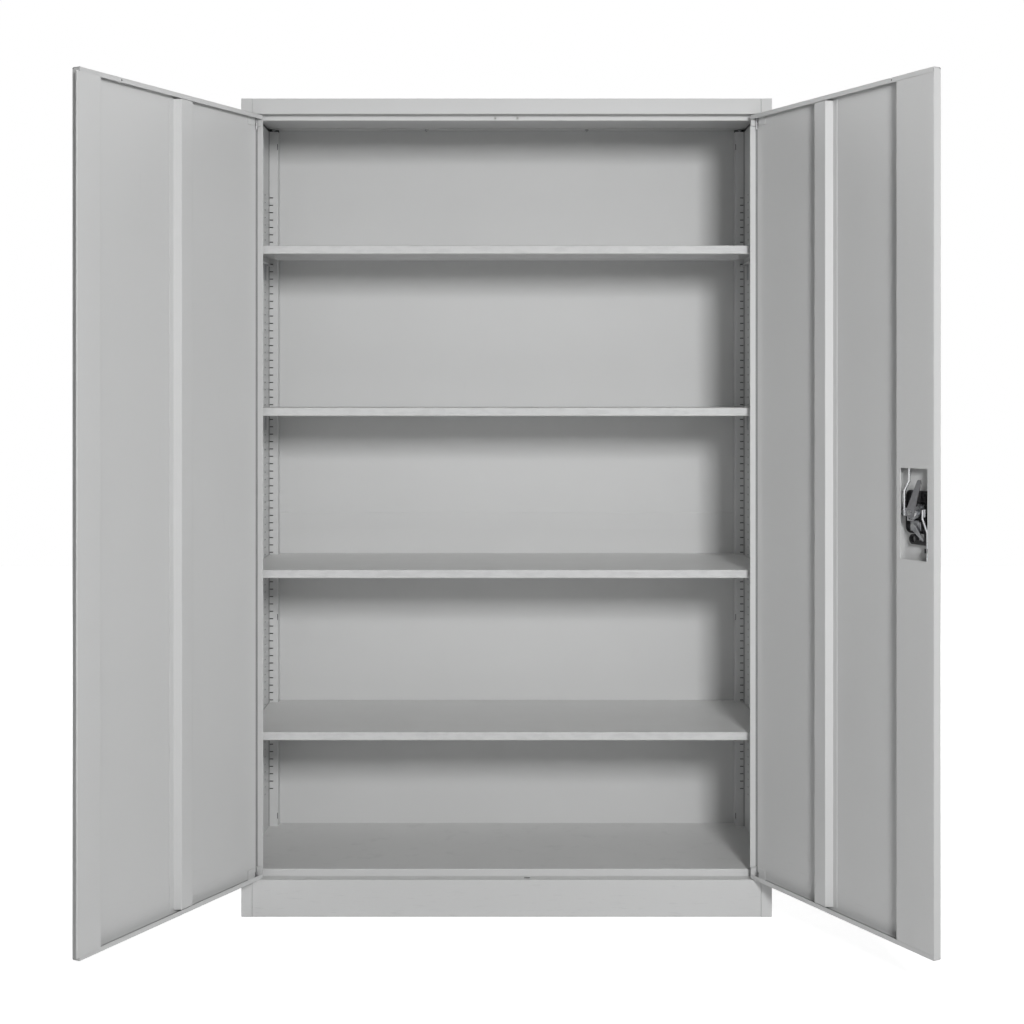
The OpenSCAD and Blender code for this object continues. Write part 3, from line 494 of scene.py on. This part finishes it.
class Shape:
    """A new mesh that starts as a primitive and is shaped in edit mode. Sizes here are millimetres."""

    def __init__(self, name: str, add: Callable[..., set], **settings: object) -> None:
        """Adds the primitive and puts its place into its mesh.

        Args:
            name: the object's name.
            add: the primitive's operator.
            settings: the operator's settings, in metres.
        """
        clear_selection()
        add(**settings)
        self.object = bpy.context.object
        self.object.name = name
        self.object.data.name = name
        bpy.ops.object.transform_apply(location=True, rotation=True, scale=True)

    def activate(self) -> None:
        """Makes this the only selected object."""
        clear_selection()
        bpy.context.view_layer.objects.active = self.object
        self.object.select_set(True)

    def edit(self, whole: bool = True) -> "Shape":
        """Enters edit mode with everything or nothing selected."""
        self.activate()
        bpy.ops.object.mode_set(mode="EDIT")
        bpy.ops.mesh.select_all(action="SELECT" if whole else "DESELECT")
        return self

    def pick(self, test: Callable[[Vector, Vector], bool]) -> "Shape":
        """Selects the faces that pass a test.

        Args:
            test: takes a face's middle in millimetres and its normal.

        Returns:
            This shape, in edit mode.
        """
        self.edit(whole=False)
        bpy.ops.mesh.select_mode(type="FACE")
        mesh = bmesh.from_edit_mesh(self.object.data)
        mesh.normal_update()
        for face in mesh.faces:
            if test(face.calc_center_median() / MM, face.normal):
                face.select_set(True)
        mesh.select_flush_mode()
        bmesh.update_edit_mesh(self.object.data)
        return self

    def resize(self, factors: Point, about: Point) -> "Shape":
        """Scales what is selected about a point in millimetres."""
        bpy.ops.transform.resize(value=factors, center_override=mm(*about))
        return self

    def draw_out(self, by: Point) -> "Shape":
        """Extrudes what is selected by a step in millimetres."""
        bpy.ops.mesh.extrude_region_move(TRANSFORM_OT_translate={"value": mm(*by)})
        return self

    def inset(self, width: float, depth: float = 0.0) -> "Shape":
        """Insets the selected faces, and moves them along their normal by depth."""
        bpy.ops.mesh.inset(thickness=width * MM, depth=depth * MM)
        return self

    def modify(self, kind: str, **settings: object) -> "Shape":
        """Adds a modifier and applies it."""
        self.activate()
        made = self.object.modifiers.new(kind.lower(), kind)
        for key, value in settings.items():
            setattr(made, key, value)
        bpy.ops.object.modifier_apply(modifier=made.name)
        return self

    def ease(self, width: float, segments: int = 2, angle: float = 40.0) -> "Shape":
        """Rounds every edge sharper than an angle."""
        return self.modify("BEVEL", width=width * MM, segments=segments, limit_method="ANGLE",
                           angle_limit=math.radians(angle), use_clamp_overlap=True)

    def join(self, other: "Shape", how: Join) -> "Shape":
        """Adds another closed shape to this one or cuts it out, and uses the other up."""
        self.modify("BOOLEAN", object=other.object, operation=how.value, solver="EXACT")
        bpy.data.objects.remove(other.object, do_unlink=True)
        return self

    def settle(self, material: bpy.types.Material, place: Matrix, smooth: float = 32.0) -> bpy.types.Object:
        """Merges doubles, turns the faces outwards, shades the mesh and moves it to its place.

        Args:
            material: its finish.
            place: from the shape's own frame to the shared one.
            smooth: the sharpest angle in degrees that is shaded smooth.

        Returns:
            The finished piece, with its object at the origin.
        """
        self.edit()
        bpy.ops.mesh.remove_doubles(threshold=WELD)
        bpy.ops.mesh.normals_make_consistent(inside=False)
        self.activate()
        bpy.ops.object.shade_smooth_by_angle(angle=math.radians(smooth))
        self.object.data.transform(place)
        self.object.data.materials.clear()
        self.object.data.materials.append(material)
        return self.object


def disc(name: str, middle: Point, radius: float, way: int, sides: int = 48) -> Shape:
    """A flat round face across the door's depth, which looks back into the door (1) or out of it (-1)."""
    return Shape(name, bpy.ops.mesh.primitive_circle_add, vertices=sides, radius=radius * MM,
                 fill_type="NGON", location=mm(*middle), rotation=(-way * QUARTER, 0.0, 0.0))


def post(name: str, front: Point, radius: float, length: float) -> Shape:
    """A round bar that runs back from the middle of its front face by a length."""
    return disc(name, front, radius, 1).edit().draw_out((0.0, length, 0.0))


def turned(name: str, profile: tuple[Pair, ...], x: float, z: float, sides: int = 48) -> Shape:
    """A round shape that grows out of the door.

    Args:
        name: the new object's name.
        profile: depth and radius of each ring, from the inside out.
        x: where its axis lies.
        z: the same, upwards.
        sides: how many sides a ring has.

    Returns:
        The shape, open at its first ring, in edit mode with its last face selected.
    """
    y, radius = profile[0]
    made = disc(name, (x, y, z), radius, -1, sides).edit()
    for new_y, new_radius in profile[1:]:
        made.draw_out((0.0, new_y - y, 0.0))
        made.resize((new_radius / radius, 1.0, new_radius / radius), (x, new_y, z))
        y, radius = new_y, new_radius
    return made


def block(name: str, low: Point, high: Point) -> Shape:
    """A box between two corners."""
    middle = tuple((a + b) / 2 for a, b in zip(low, high))
    made = Shape(name, bpy.ops.mesh.primitive_cube_add, size=MM, location=mm(*middle)).edit()
    return made.resize(tuple(b - a for a, b in zip(low, high)), middle)


@dataclass(frozen=True)
class Outline:
    """A rectangle with round corners, in millimetres."""

    width: float
    height: float
    corner: float
    segments: int = 8

    def grown(self, by: float) -> "Outline":
        """The same outline, wider all round."""
        return Outline(self.width + 2 * by, self.height + 2 * by, self.corner + by, self.segments)

    def face(self, name: str, middle: Point, way: int) -> Shape:
        """Draws it as one flat face across the door's depth.

        Args:
            name: the new object's name.
            middle: its centre.
            way: 1 to look back into the door, -1 to look out of it.

        Returns:
            The flat shape, in edit mode and selected.
        """
        made = Shape(name, bpy.ops.mesh.primitive_plane_add, size=MM, location=mm(*middle),
                     rotation=(-way * QUARTER, 0.0, 0.0)).edit()
        made.resize((self.width, 1.0, self.height), middle)
        bpy.ops.mesh.bevel(offset=self.corner * MM, affect="VERTICES", segments=self.segments)
        return made


# The studio


@dataclass
class Lamp:
    """One soft box."""

    name: str
    place: Point
    aim: Point
    size: float
    power: float
    in_gloss: bool = True

    def build(self) -> None:
        """Hangs the lamp and points it."""
        data = bpy.data.lights.new(self.name, "AREA")
        data.shape = "SQUARE"
        data.size = self.size
        data.energy = self.power
        lamp = bpy.data.objects.new(self.name, data)
        lamp.visible_glossy = self.in_gloss
        way = Vector(self.aim) - Vector(self.place)
        lamp.matrix_world = Matrix.Translation(self.place) @ way.to_track_quat("-Z", "Y").to_matrix().to_4x4()
        bpy.context.scene.collection.objects.link(lamp)


@dataclass
class Studio:
    """Pale floor, white surroundings, soft boxes and the camera."""

    frame_px: float = 1024.0
    focal_px: float = 1500.0
    centre_px: Pair = (506.6, 398.0)
    camera_place: Point = (0.0, -3.39, 1.173)
    sensor: float = 36.0
    floor_size: float = 14.0
    floor_drop: float = 0.0005
    lamps: list[Lamp] = field(default_factory=lambda: [
        Lamp("key", (0.9, -3.5, 1.95), (0.0, 0.0, 0.95), 0.6, 81.0, in_gloss=False),
        Lamp("left_fill", (-1.2, -3.8, 1.7), (0.0, 0.0, 0.9), 2.0, 5.0),
        Lamp("front_fill", (0.0, -4.0, 2.4), (0.0, 0.0, 0.9), 2.5, 9.0),
        Lamp("right_fill", (2.6, -4.5, 1.8), (0.0, 0.0, 0.9), 2.4, 5.0),
        Lamp("left_rear", (-3.6, 3.2, 2.9), (0.0, 0.2, 0.9), 2.4, 120.0, in_gloss=False),
        Lamp("right_rear", (3.6, 3.2, 2.9), (0.0, 0.2, 0.9), 2.4, 90.0, in_gloss=False)])
    ambient: float = 0.0
    floor_glow: Pair = (0.7, 1.0)
    glow_reach: Pair = (1.1, 2.2)
    under_case: Zone = Zone(1.0, x=(-1.0, 0.597), y=(0.003, 0.397))
    floor_colour: Colour = (0.82, 0.82, 0.82)
    floor_roughness: float = 0.9

    def white_where_seen(self, tree: bpy.types.NodeTree) -> Socket:
        """1 for what the camera sees straight or in gloss or glass, else 0."""
        path = tree.nodes.new("ShaderNodeLightPath")
        total = path.outputs["Is Camera Ray"]
        for name in ("Is Glossy Ray", "Is Transmission Ray"):
            more = tree.nodes.new("ShaderNodeMath")
            more.operation = "MAXIMUM"
            tree.links.new(total, more.inputs[0])
            tree.links.new(path.outputs[name], more.inputs[1])
            total = more.outputs[0]
        return total

    def surroundings(self) -> None:
        """Sets the world: white where seen, and the ambient strength where it lights the object."""
        world = bpy.data.worlds.new("surroundings")
        bpy.context.scene.world = world
        world.use_nodes = True
        tree = world.node_tree
        backdrop = tree.nodes["Background"]
        backdrop.inputs["Color"].default_value = WHITE
        lit = tree.nodes.new("ShaderNodeBackground")
        lit.inputs["Color"].default_value = WHITE
        lit.inputs["Strength"].default_value = self.ambient
        mix = tree.nodes.new("ShaderNodeMixShader")
        tree.links.new(self.white_where_seen(tree), mix.inputs[0])
        tree.links.new(lit.outputs[0], mix.inputs[1])
        tree.links.new(backdrop.outputs[0], mix.inputs[2])
        tree.links.new(mix.outputs[0], tree.nodes["World Output"].inputs["Surface"])

    def floor(self) -> None:
        """Lays a pale floor that shows white but keeps the cupboard's shadow."""
        clear_selection()
        bpy.ops.mesh.primitive_plane_add(size=self.floor_size, location=(0.0, 0.0, -self.floor_drop))
        floor = bpy.context.object
        floor.name = "floor"
        bpy.ops.object.transform_apply(location=True, rotation=True, scale=True)
        r = Recipe("pale_floor")
        place = r.coord.outputs["Object"]
        away = r.node("VectorMath")
        away.operation = "LENGTH"
        r.feed(away, 0, place)
        fade = r.span(away.outputs["Value"], self.glow_reach, self.floor_glow)
        beneath = self.under_case.mask(r, r.node("SeparateXYZ", Vector=place))
        seen = r.maths("MULTIPLY", self.white_where_seen(r.tree), fade)
        seen = r.maths("MULTIPLY", seen, r.maths("SUBTRACT", 1.0, beneath))
        both = r.node("AddShader")
        r.feed(both, 0, r.shader.outputs[0])
        r.feed(both, 1, r.node("Emission", Strength=seen).outputs[0])
        r.tree.links.new(both.outputs[0], r.tree.nodes["Material Output"].inputs["Surface"])
        floor.data.materials.append(r.finish(Base_Color=self.floor_colour, Roughness=self.floor_roughness))

    def camera(self) -> None:
        """Puts the camera where the photograph was taken from."""
        data = bpy.data.cameras.new("camera")
        data.sensor_width = self.sensor
        data.lens = self.focal_px / self.frame_px * self.sensor
        data.shift_x = (self.frame_px / 2 - self.centre_px[0]) / self.frame_px
        data.shift_y = (self.centre_px[1] - self.frame_px / 2) / self.frame_px
        camera = bpy.data.objects.new("camera", data)
        camera.matrix_world = Matrix.Translation(self.camera_place) @ Matrix.Rotation(QUARTER, 4, "X")
        bpy.context.scene.collection.objects.link(camera)
        bpy.context.scene.camera = camera

    def build(self) -> None:
        """Sets up the whole studio."""
        bpy.context.scene.view_settings.view_transform = "Standard"
        self.camera()
        self.surroundings()
        self.floor()
        for lamp in self.lamps:
            lamp.build()


# The cupboard


@dataclass
class DoorBuffers:
    """The two soft buffers on the stop strip, each a short peg with a domed head."""

    x: float = 25.0
    z: float = 1810.0
    profile: tuple[Pair, ...] = ((28.0, 1.7), (24.6, 1.7), (24.4, 2.3), (21.4, 2.3), (20.2, 2.0), (19.5, 1.3),
                                 (19.3, 0.6))
    sides: int = 24
    smooth: float = 40.0

    def build(self, material: bpy.types.Material) -> bpy.types.Object:
        """Models one buffer and copies it across.

        Args:
            material: its rubber.

        Returns:
            Both buffers as one piece, in place of the plain ones.
        """
        made = turned("domed_buffers", self.profile, self.x, self.z, self.sides)
        made.modify("MIRROR", use_axis=(True, False, False))
        piece = made.settle(material, Matrix(), self.smooth)
        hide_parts("door_buffers")
        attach(piece, "case")
        return piece


@dataclass
class Case:
    """The fixed case: its panels, uprights and shelves."""

    panels: tuple[str, ...] = ("left_side_panel", "right_side_panel", "top_panel", "bottom_panel", "plinth")
    backs: tuple[str, ...] = ("upper_back_panel", "lower_back_panel")
    uprights: tuple[str, ...] = ("left_front_upright", "right_front_upright", "left_rear_upright",
                                 "right_rear_upright")
    shelves: tuple[str, ...] = ("shelf_1", "shelf_2", "shelf_3", "shelf_4")
    kick: float = 0.16
    # Share of painted light on the panels' up-facing faces.
    panel_top_light: float = 0.5
    panel_seed_step: float = 0.37
    back_seeds: Pair = (2.1, 2.5)
    back_wave: float = 3.0
    back_wear: float = 0.15
    upright_seed: float = 3.3
    shelf_seeds: tuple[float, ...] = (4.5, 5.0, 5.5, 6.0)
    shelf_wave: float = 7.0
    shelf_wear: float = 0.45
    shelf_front: float = 0.0314
    # Share of painted light on the shelves' up-facing tops.
    shelf_top_light: float = 0.7
    stiffener_seed: float = 6.5
    joint: Zone = Zone(0.4, x=(0.5745, 0.5753), y=(-0.001, 0.0004))
    # Painted shade on the side panels, in the hollows behind the uprights.
    side_cavity_painted_shade: tuple[Zone, ...] = (Zone(0.93, x=(0.55, 0.5994), y=(0.0303, 0.107)),
                                       Zone(0.93, x=(0.55, 0.5994), y=(0.293, 0.3984)))
    # Painted shade on the back panel, behind the uprights' flanges.
    back_cavity_painted_shade: Zone = Zone(0.93, x=(0.5745, 0.61), y=(0.39, 0.3983))
    # Painted shade on the uprights' hidden backs, and a painted shadow line in the rear uprights' fold
    # corner.
    upright_painted_shade: tuple[Zone, ...] = (Zone(0.93, x=(0.5965, 0.61), y=(0.02, 0.1062)),
                                       Zone(0.93, x=(0.5965, 0.61), y=(0.2934, 0.41)),
                                       Zone(0.93, x=(0.5744, 0.61), y=(0.3695, 0.41)),
                                       Zone(0.55, x=(0.5945, 0.5964), y=(0.3675, 0.3692), soft=0.0012))
    # Painted shade on the plinth's inside, seen through the rod's slot.
    rod_slot_painted_shade: Zone = Zone(0.93, x=(0.036, 0.057), y=(0.008, 0.022), z=(0.08, 0.0836))
    # Painted shade on the header's underside.
    header_painted_shade: Zone = Zone(0.4, y=(0.003, 0.0275), z=(1.8145, 1.8155))

    def paint_sheets(self) -> None:
        """Paints the panels, the backs and the uprights, each sheet with its own pattern, with painted shade
        in their cavities, corners and the rod's slot.
        """
        for index, name in enumerate(self.panels):
            if "side" in name:
                zones = (*self.side_cavity_painted_shade, self.joint)
            else:
                zones = (self.joint, self.rod_slot_painted_shade, self.header_painted_shade)
            paint = PowderCoat(f"paint_{name}", seed=self.panel_seed_step * index, kick=self.kick,
                               top_light=self.panel_top_light, zones=zones)
            dress([name], paint.build())
        for name, seed in zip(self.backs, self.back_seeds):
            paint = PowderCoat(f"paint_{name}", seed=seed, wave=self.back_wave, wear=self.back_wear,
                               zones=(self.back_cavity_painted_shade,))
            dress([name], paint.build())
        posts = PowderCoat("paint_uprights", seed=self.upright_seed, zones=self.upright_painted_shade)
        dress(self.uprights, posts.build())

    def paint_shelves(self) -> None:
        """Paints the shelves and their stiffeners, and plates their clips."""
        for name, seed in zip(self.shelves, self.shelf_seeds):
            paint = PowderCoat(f"paint_{name}", seed=seed, wave=self.shelf_wave, wear=self.shelf_wear,
                               front=self.shelf_front, top_light=self.shelf_top_light)
            dress([name], paint.build())
        stiffeners = PowderCoat("paint_shelf_stiffeners", seed=self.stiffener_seed)
        dress([f"{name}_stiffener" for name in self.shelves], stiffeners.build())
        dress([f"{name}_clips" for name in self.shelves], ZincPlate("zinc_shelf_clips").build())

    def build(self) -> None:
        """Dresses the case's nodes and models its buffers."""
        self.paint_sheets()
        self.paint_shelves()
        dress(["back_screws"], TurnedSteel("steel_back_screws").build())
        rubber = MouldedPlastic("rubber_buffers", colour=(0.5, 0.5, 0.49), rubbed=(0.4, 0.4, 0.39),
                                roughness=0.6)
        log.info("%s modelled", DoorBuffers().build(rubber.build()).name)
        dress(["pivot_bushes"], nylon("nylon_bushes"))
        log.info("case dressed")


@dataclass
class Door:
    """One door with its stile, stiffener and pivots."""

    side: Side
    kick: float = 0.2
    skin_seed: float = 7.0
    skin_wave: float = 3.5
    stile_seed: float = 8.3
    stile_wave: float = 4.0
    stiffener_seed: float = 9.6
    bracket_seed: float = 10.4
    # Painted shade in the skin's inner corners: along the hinge-side wall, under the top flange and above the
    # bottom flange.
    corner_painted_shade: tuple[Zone, ...] = (Zone(0.62, x=(0.5692, 0.5727), y=(0.0005, 0.004)),
                                 Zone(0.7, y=(0.001, 0.004), z=(1.8092, 1.8119), soft=0.0008),
                                 Zone(0.5, y=(0.001, 0.004), z=(0.0871, 0.0895), soft=0.0008))

    def build(self) -> None:
        """Dresses the door's nodes, with the paint's pattern turned to lie along the open door."""
        word = self.side.name.lower()
        sign = self.side.value
        turn = sign * -OPEN_ANGLE
        pivot = Vector((sign * PIVOT[0], PIVOT[1], 0.0))
        home = tuple(pivot - Matrix.Rotation(turn, 3, "Z") @ pivot)
        paints = {
            "skin": PowderCoat(f"paint_{word}_door", seed=self.skin_seed + sign, turn=turn,
                               wave=self.skin_wave, kick=self.kick, home=home, zones=self.corner_painted_shade),
            "stile": PowderCoat(f"paint_{word}_stile", seed=self.stile_seed + sign, turn=turn,
                                wave=self.stile_wave),
            "stiffener": PowderCoat(f"paint_{word}_stiffener", seed=self.stiffener_seed + sign, turn=turn),
            "pivot_brackets": PowderCoat(f"paint_{word}_brackets", seed=self.bracket_seed, turn=turn)}
        for part, paint in paints.items():
            dress([f"{word}_door_{part}"], paint.build())
        dress([f"{word}_door_pivot_pins"], TurnedSteel(f"steel_{word}_pins").build())
        log.info("%s door dressed", word)


def lock_place() -> Matrix:
    """From the lock's own frame to the shared one, with the right door open.

    Returns:
        The transform. In the lock's frame the spindle meets the door's outer face at the origin, X runs
        towards the hinge, Y back into the door and Z up.
    """
    pivot = Matrix.Translation(PIVOT)
    return pivot @ Matrix.Rotation(OPEN_ANGLE, 4, "Z") @ pivot.inverted() @ Matrix.Translation(SPINDLE)


@dataclass
class HandleLever:
    """The outside handle: a stepped hub and a shaped grip, with the spindle's square socket."""

    hub: tuple[Pair, ...] = ((-2.8, 15.0), (-14.5, 15.0), (-17.0, 14.4), (-18.9, 12.8), (-19.8, 10.6),
                             (-20.0, 9.0))
    recess_r: float = 7.5
    recess_depth: float = 0.7
    sections: tuple[tuple[float, float, float, float], ...] = (
        (2.0, -13.0, 5.0, 12.6), (13.0, -13.0, 5.0, 12.2), (22.0, -13.4, 4.7, 10.6), (36.0, -14.0, 4.4, 9.4),
        (60.0, -14.6, 4.2, 8.9), (82.0, -14.4, 4.1, 8.8), (95.0, -14.0, 3.8, 8.4), (101.5, -13.6, 3.1, 6.8),
        (104.6, -13.4, 1.7, 3.6))
    corner_share: float = 0.75
    corner_steps: int = 3
    softening: int = 2
    socket: float = 7.1
    socket_y: Pair = (-15.0, 0.0)

    def grip(self) -> Shape:
        """Draws the grip out through its sections.

        Returns:
            The closed, smooth grip.
        """
        x, y, thick, wide = self.sections[0]
        made = Shape("grip", bpy.ops.mesh.primitive_plane_add, size=2 * MM, location=mm(x, y, 0.0),
                     rotation=(0.0, QUARTER, 0.0)).edit()
        made.resize((1.0, thick, wide), (x, y, 0.0))
        bpy.ops.mesh.bevel(offset=self.corner_share * thick * MM, affect="VERTICES",
                           segments=self.corner_steps)
        for new_x, new_y, new_thick, new_wide in self.sections[1:]:
            made.draw_out((new_x - x, new_y - y, 0.0))
            made.resize((1.0, new_thick / thick, new_wide / wide), (new_x, new_y, 0.0))
            x, y, thick, wide = new_x, new_y, new_thick, new_wide
        return made.modify("SUBSURF", levels=self.softening, render_levels=self.softening)

    def build(self, material: bpy.types.Material) -> bpy.types.Object:
        """Models the handle.

        Args:
            material: its plastic.

        Returns:
            The piece, in place of the plain lever.
        """
        made = turned("shaped_handle", self.hub, 0.0, 0.0)
        made.inset(self.hub[-1][1] - self.recess_r)
        made.draw_out((0.0, self.recess_depth, 0.0))
        half = self.socket / 2
        made.join(self.grip(), Join.ADD)
        made.join(block("socket", (-half, self.socket_y[0], -half), (half, self.socket_y[1], half)), Join.CUT)
        piece = made.settle(material, lock_place())
        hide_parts("handle_lever")
        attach(piece, "handle")
        return piece


@dataclass
class HandleHousing:
    """The moulded escutcheon and housing: a domed rim outside, a ribbed pocket with bosses inside."""

    outline: Outline = Outline(63.0, 84.3, 13.0)
    middle_z: float = 0.85
    rim: float = 3.0
    rim_y: tuple[float, float, float] = (0.0, -1.5, -2.5)
    rim_in: float = 1.4
    back: float = 7.6
    floor: float = 3.0
    wall: float = 2.5
    spindle_boss: Pair = (11.0, 5.25)
    cylinder_boss: Pair = (12.0, 9.1)
    cylinder_z: float = -27.5
    screw_boss: Pair = (4.0, 1.4)
    screws: tuple[Pair, ...] = ((21.0, -29.0), (-18.0, 34.0))
    blind_hole: float = 2.0
    sink: float = 0.5
    rib: float = 1.3
    rib_back: float = 7.0
    rib_x: tuple[float, ...] = (-22.0, -8.0, 8.0, 22.0)
    rib_z: tuple[float, ...] = (-12.0, 0.0, 22.0)
    rib_end: float = 1.0
    corner_x: float = 20.0
    corner_room: float = 4.0
    easing: float = 0.35

    def ribs(self) -> Iterable[Shape]:
        """The stiffening ribs between the pocket's walls, upright ones first."""
        half_w, half_h = self.outline.width / 2 - self.rib_end, self.outline.height / 2 - self.rib_end
        low = self.floor - self.sink
        for x in self.rib_x:
            inner = half_h - self.corner_room if abs(x) > self.corner_x else half_h
            yield block("rib", (x - self.rib / 2, low, self.middle_z - inner),
                        (x + self.rib / 2, self.rib_back, self.middle_z + inner))
        for z in self.rib_z:
            yield block("rib", (-half_w, low, z - self.rib / 2), (half_w, self.rib_back, z + self.rib / 2))

    def build(self, material: bpy.types.Material) -> bpy.types.Object:
        """Models the housing.

        Args:
            material: its plastic.

        Returns:
            The piece, in place of the plain housing.
        """
        middle = (0.0, 0.0, self.middle_z)
        made = self.outline.face("ribbed_housing", middle, 1)
        made.draw_out((0.0, self.back, 0.0)).inset(self.wall).draw_out((0.0, self.floor - self.back, 0.0))
        rim = self.outline.grown(self.rim).face("rim", middle, -1)
        rim.draw_out((0.0, self.rim_y[1], 0.0)).inset(self.rim_in, self.rim_y[1] - self.rim_y[2])
        made.join(rim, Join.ADD)
        for rib in self.ribs():
            made.join(rib, Join.ADD)
        bosses = [((0.0, 0.0), self.spindle_boss), ((0.0, self.cylinder_z), self.cylinder_boss)]
        bosses += [(place, self.screw_boss) for place in self.screws]
        for (x, z), (radius, _) in bosses:
            made.join(post("boss", (x, self.sink, z), radius, self.back - self.sink), Join.ADD)
        for (x, z), (_, hole) in bosses:
            start = self.rim_y[2] - OVERRUN if hole > self.blind_hole else self.floor
            made.join(post("hole", (x, start, z), hole, self.back + OVERRUN - start), Join.CUT)
        piece = made.ease(self.easing).settle(material, lock_place())
        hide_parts("handle_housing")
        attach(piece, "right_door")
        return piece


@dataclass
class RodClip:
    """The black clip under the housing: a ring, the lower rod's eye, and a loop that laps the housing."""

    ring: Pair = (10.0, -53.0)
    ring_r: Pair = (10.0, 7.0)
    foot_y: Pair = (1.0, 9.6)
    bar: tuple[float, float, float, float] = (-42.0, 10.0, -63.0, -54.0)
    eye_x: float = -36.0
    eye_half: float = 6.0
    eye_z: Pair = (-77.0, -68.0)
    eye_back: float = 17.5
    rod_y: float = 14.9
    rod_r: float = 2.8
    rod_sides: int = 32
    loop: Pair = (-25.0, -35.0)
    loop_r: Pair = (7.0, 4.0)
    loop_y: float = 7.6
    arm_half: float = 3.5
    easing: float = 0.8
    easing_steps: int = 3

    def build(self, material: bpy.types.Material) -> bpy.types.Object:
        """Models the clip.

        Args:
            material: its plastic.

        Returns:
            The piece, in place of the plain clip.
        """
        front, back = self.foot_y
        left, right, low, high = self.bar
        made = post("moulded_clip", (self.ring[0], front, self.ring[1]), self.ring_r[0], back - front)
        column = self.eye_x - self.eye_half, self.eye_x + self.eye_half
        parts = [block("bar", (left, front, low), (right, back, high)),
                 block("leg", (column[0], front, self.eye_z[0]), (column[1], back, high)),
                 block("eye", (column[0], front, self.eye_z[0]), (column[1], self.eye_back, self.eye_z[1])),
                 post("loop", (self.loop[0], self.loop_y, self.loop[1]), self.loop_r[0], back - self.loop_y),
                 block("arm", (self.loop[0] - self.arm_half, self.loop_y, low),
                       (self.loop[0] + self.arm_half, back, self.loop[1]))]
        for part in parts:
            made.join(part, Join.ADD)
        for (x, z), (_, hole) in ((self.ring, self.ring_r), (self.loop, self.loop_r)):
            made.join(post("hole", (x, front - OVERRUN, z), hole, back - front + 2 * OVERRUN), Join.CUT)
        rod = Shape("rod", bpy.ops.mesh.primitive_cylinder_add, vertices=self.rod_sides,
                    radius=self.rod_r * MM, depth=2 * (self.eye_z[1] - self.eye_z[0]) * MM,
                    location=mm(self.eye_x, self.rod_y, sum(self.eye_z) / 2))
        made.join(rod, Join.CUT)
        piece = made.ease(self.easing, self.easing_steps).settle(material, lock_place())
        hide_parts("rod_clip")
        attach(piece, "right_door")
        return piece


@dataclass
class ReturnSpring:
    """The wire spring wound round the spindle's sleeve, with one leg each way."""

    wire_r: float = 0.65
    wire_sides: int = 10
    coil_r: float = 7.4
    coil_steps: int = 28
    start_y: float = 16.0
    pitch: float = 1.55
    turns: int = 5
    leg: float = 9.0
    upright: float = 0.9
    smooth: float = 60.0

    def build(self, material: bpy.types.Material) -> bpy.types.Object:
        """Winds the spring.

        Args:
            material: its steel.

        Returns:
            The piece, which turns with the handle.
        """
        made = Shape("return_spring", bpy.ops.mesh.primitive_circle_add, vertices=self.wire_sides,
                     radius=self.wire_r * MM, location=mm(self.coil_r, self.start_y, 0.0))
        made.modify("SCREW", axis="Y", angle=4 * QUARTER, screw_offset=self.pitch * MM,
                    iterations=self.turns, steps=self.coil_steps, render_steps=self.coil_steps)
        made.edit()
        bpy.ops.mesh.remove_doubles(threshold=WELD)
        bpy.ops.mesh.select_all(action="DESELECT")
        bpy.ops.mesh.select_non_manifold()
        bpy.ops.mesh.fill_holes(sides=0)
        last = self.start_y + self.pitch * self.turns
        for y, way in ((self.start_y, 1.0), (last, -1.0)):
            made.pick(lambda middle, normal, y=y: abs(normal.z) > self.upright
                      and (middle - Vector((self.coil_r, y, 0.0))).length < self.wire_r / 2)
            made.draw_out((0.0, 0.0, way * self.leg))
        piece = made.settle(material, lock_place(), self.smooth)
        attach(piece, "handle")
        return piece


@dataclass
class Lock:
    """The handle and the lock works behind it."""

    plated: tuple[str, ...] = ("cam_plate", "spindle_sleeve", "plug_cam", "cylinder_nut", "lock_cylinder")
    rods: tuple[str, ...] = ("upper_rod", "lower_rod")
    turned: tuple[str, ...] = ("spindle", "spindle_screw", "lock_plug")

    def build(self) -> None:
        """Models the plastic pieces and the spring, and dresses the metal ones."""
        black = MouldedPlastic("black_plastic").build()
        for part in (HandleLever(), HandleHousing(), RodClip()):
            log.info("%s modelled", part.build(black).name)
        wire = TurnedSteel("spring_steel", colour=(0.72, 0.72, 0.73), roughness=0.2)
        log.info("%s wound", ReturnSpring().build(wire.build()).name)
        rod_zinc = ZincPlate("zinc_rods", colour=(0.72, 0.725, 0.73), stained=(0.5, 0.51, 0.53),
                             roughness=0.22)
        tongue_zinc = ZincPlate("zinc_tongue", colour=(0.3, 0.3, 0.31), stained=(0.24, 0.24, 0.25),
                                edge_wear_and_highlight=(0.42, 0.42, 0.42), roughness=0.45)
        oxide = TurnedSteel("black_oxide_screws", colour=(0.06, 0.06, 0.065), roughness=0.4)
        dress(self.plated, ZincPlate("zinc_lock").build())
        dress(self.rods, rod_zinc.build())
        dress(["latch_tongue"], tongue_zinc.build())
        dress(self.turned, TurnedSteel("steel_lock").build())
        dress(["housing_screws"], oxide.build())
        dress(["rod_guides"], nylon("nylon_guides"))
        log.info("lock dressed")


def main() -> None:
    """Builds the studio and dresses the cupboard, piece by piece."""
    logging.basicConfig(level=logging.INFO, format="%(name)s: %(message)s")
    Studio().build()
    Case().build()
    for side in Side:
        Door(side).build()
    Lock().build()


if __name__ == "__main__":
    main()
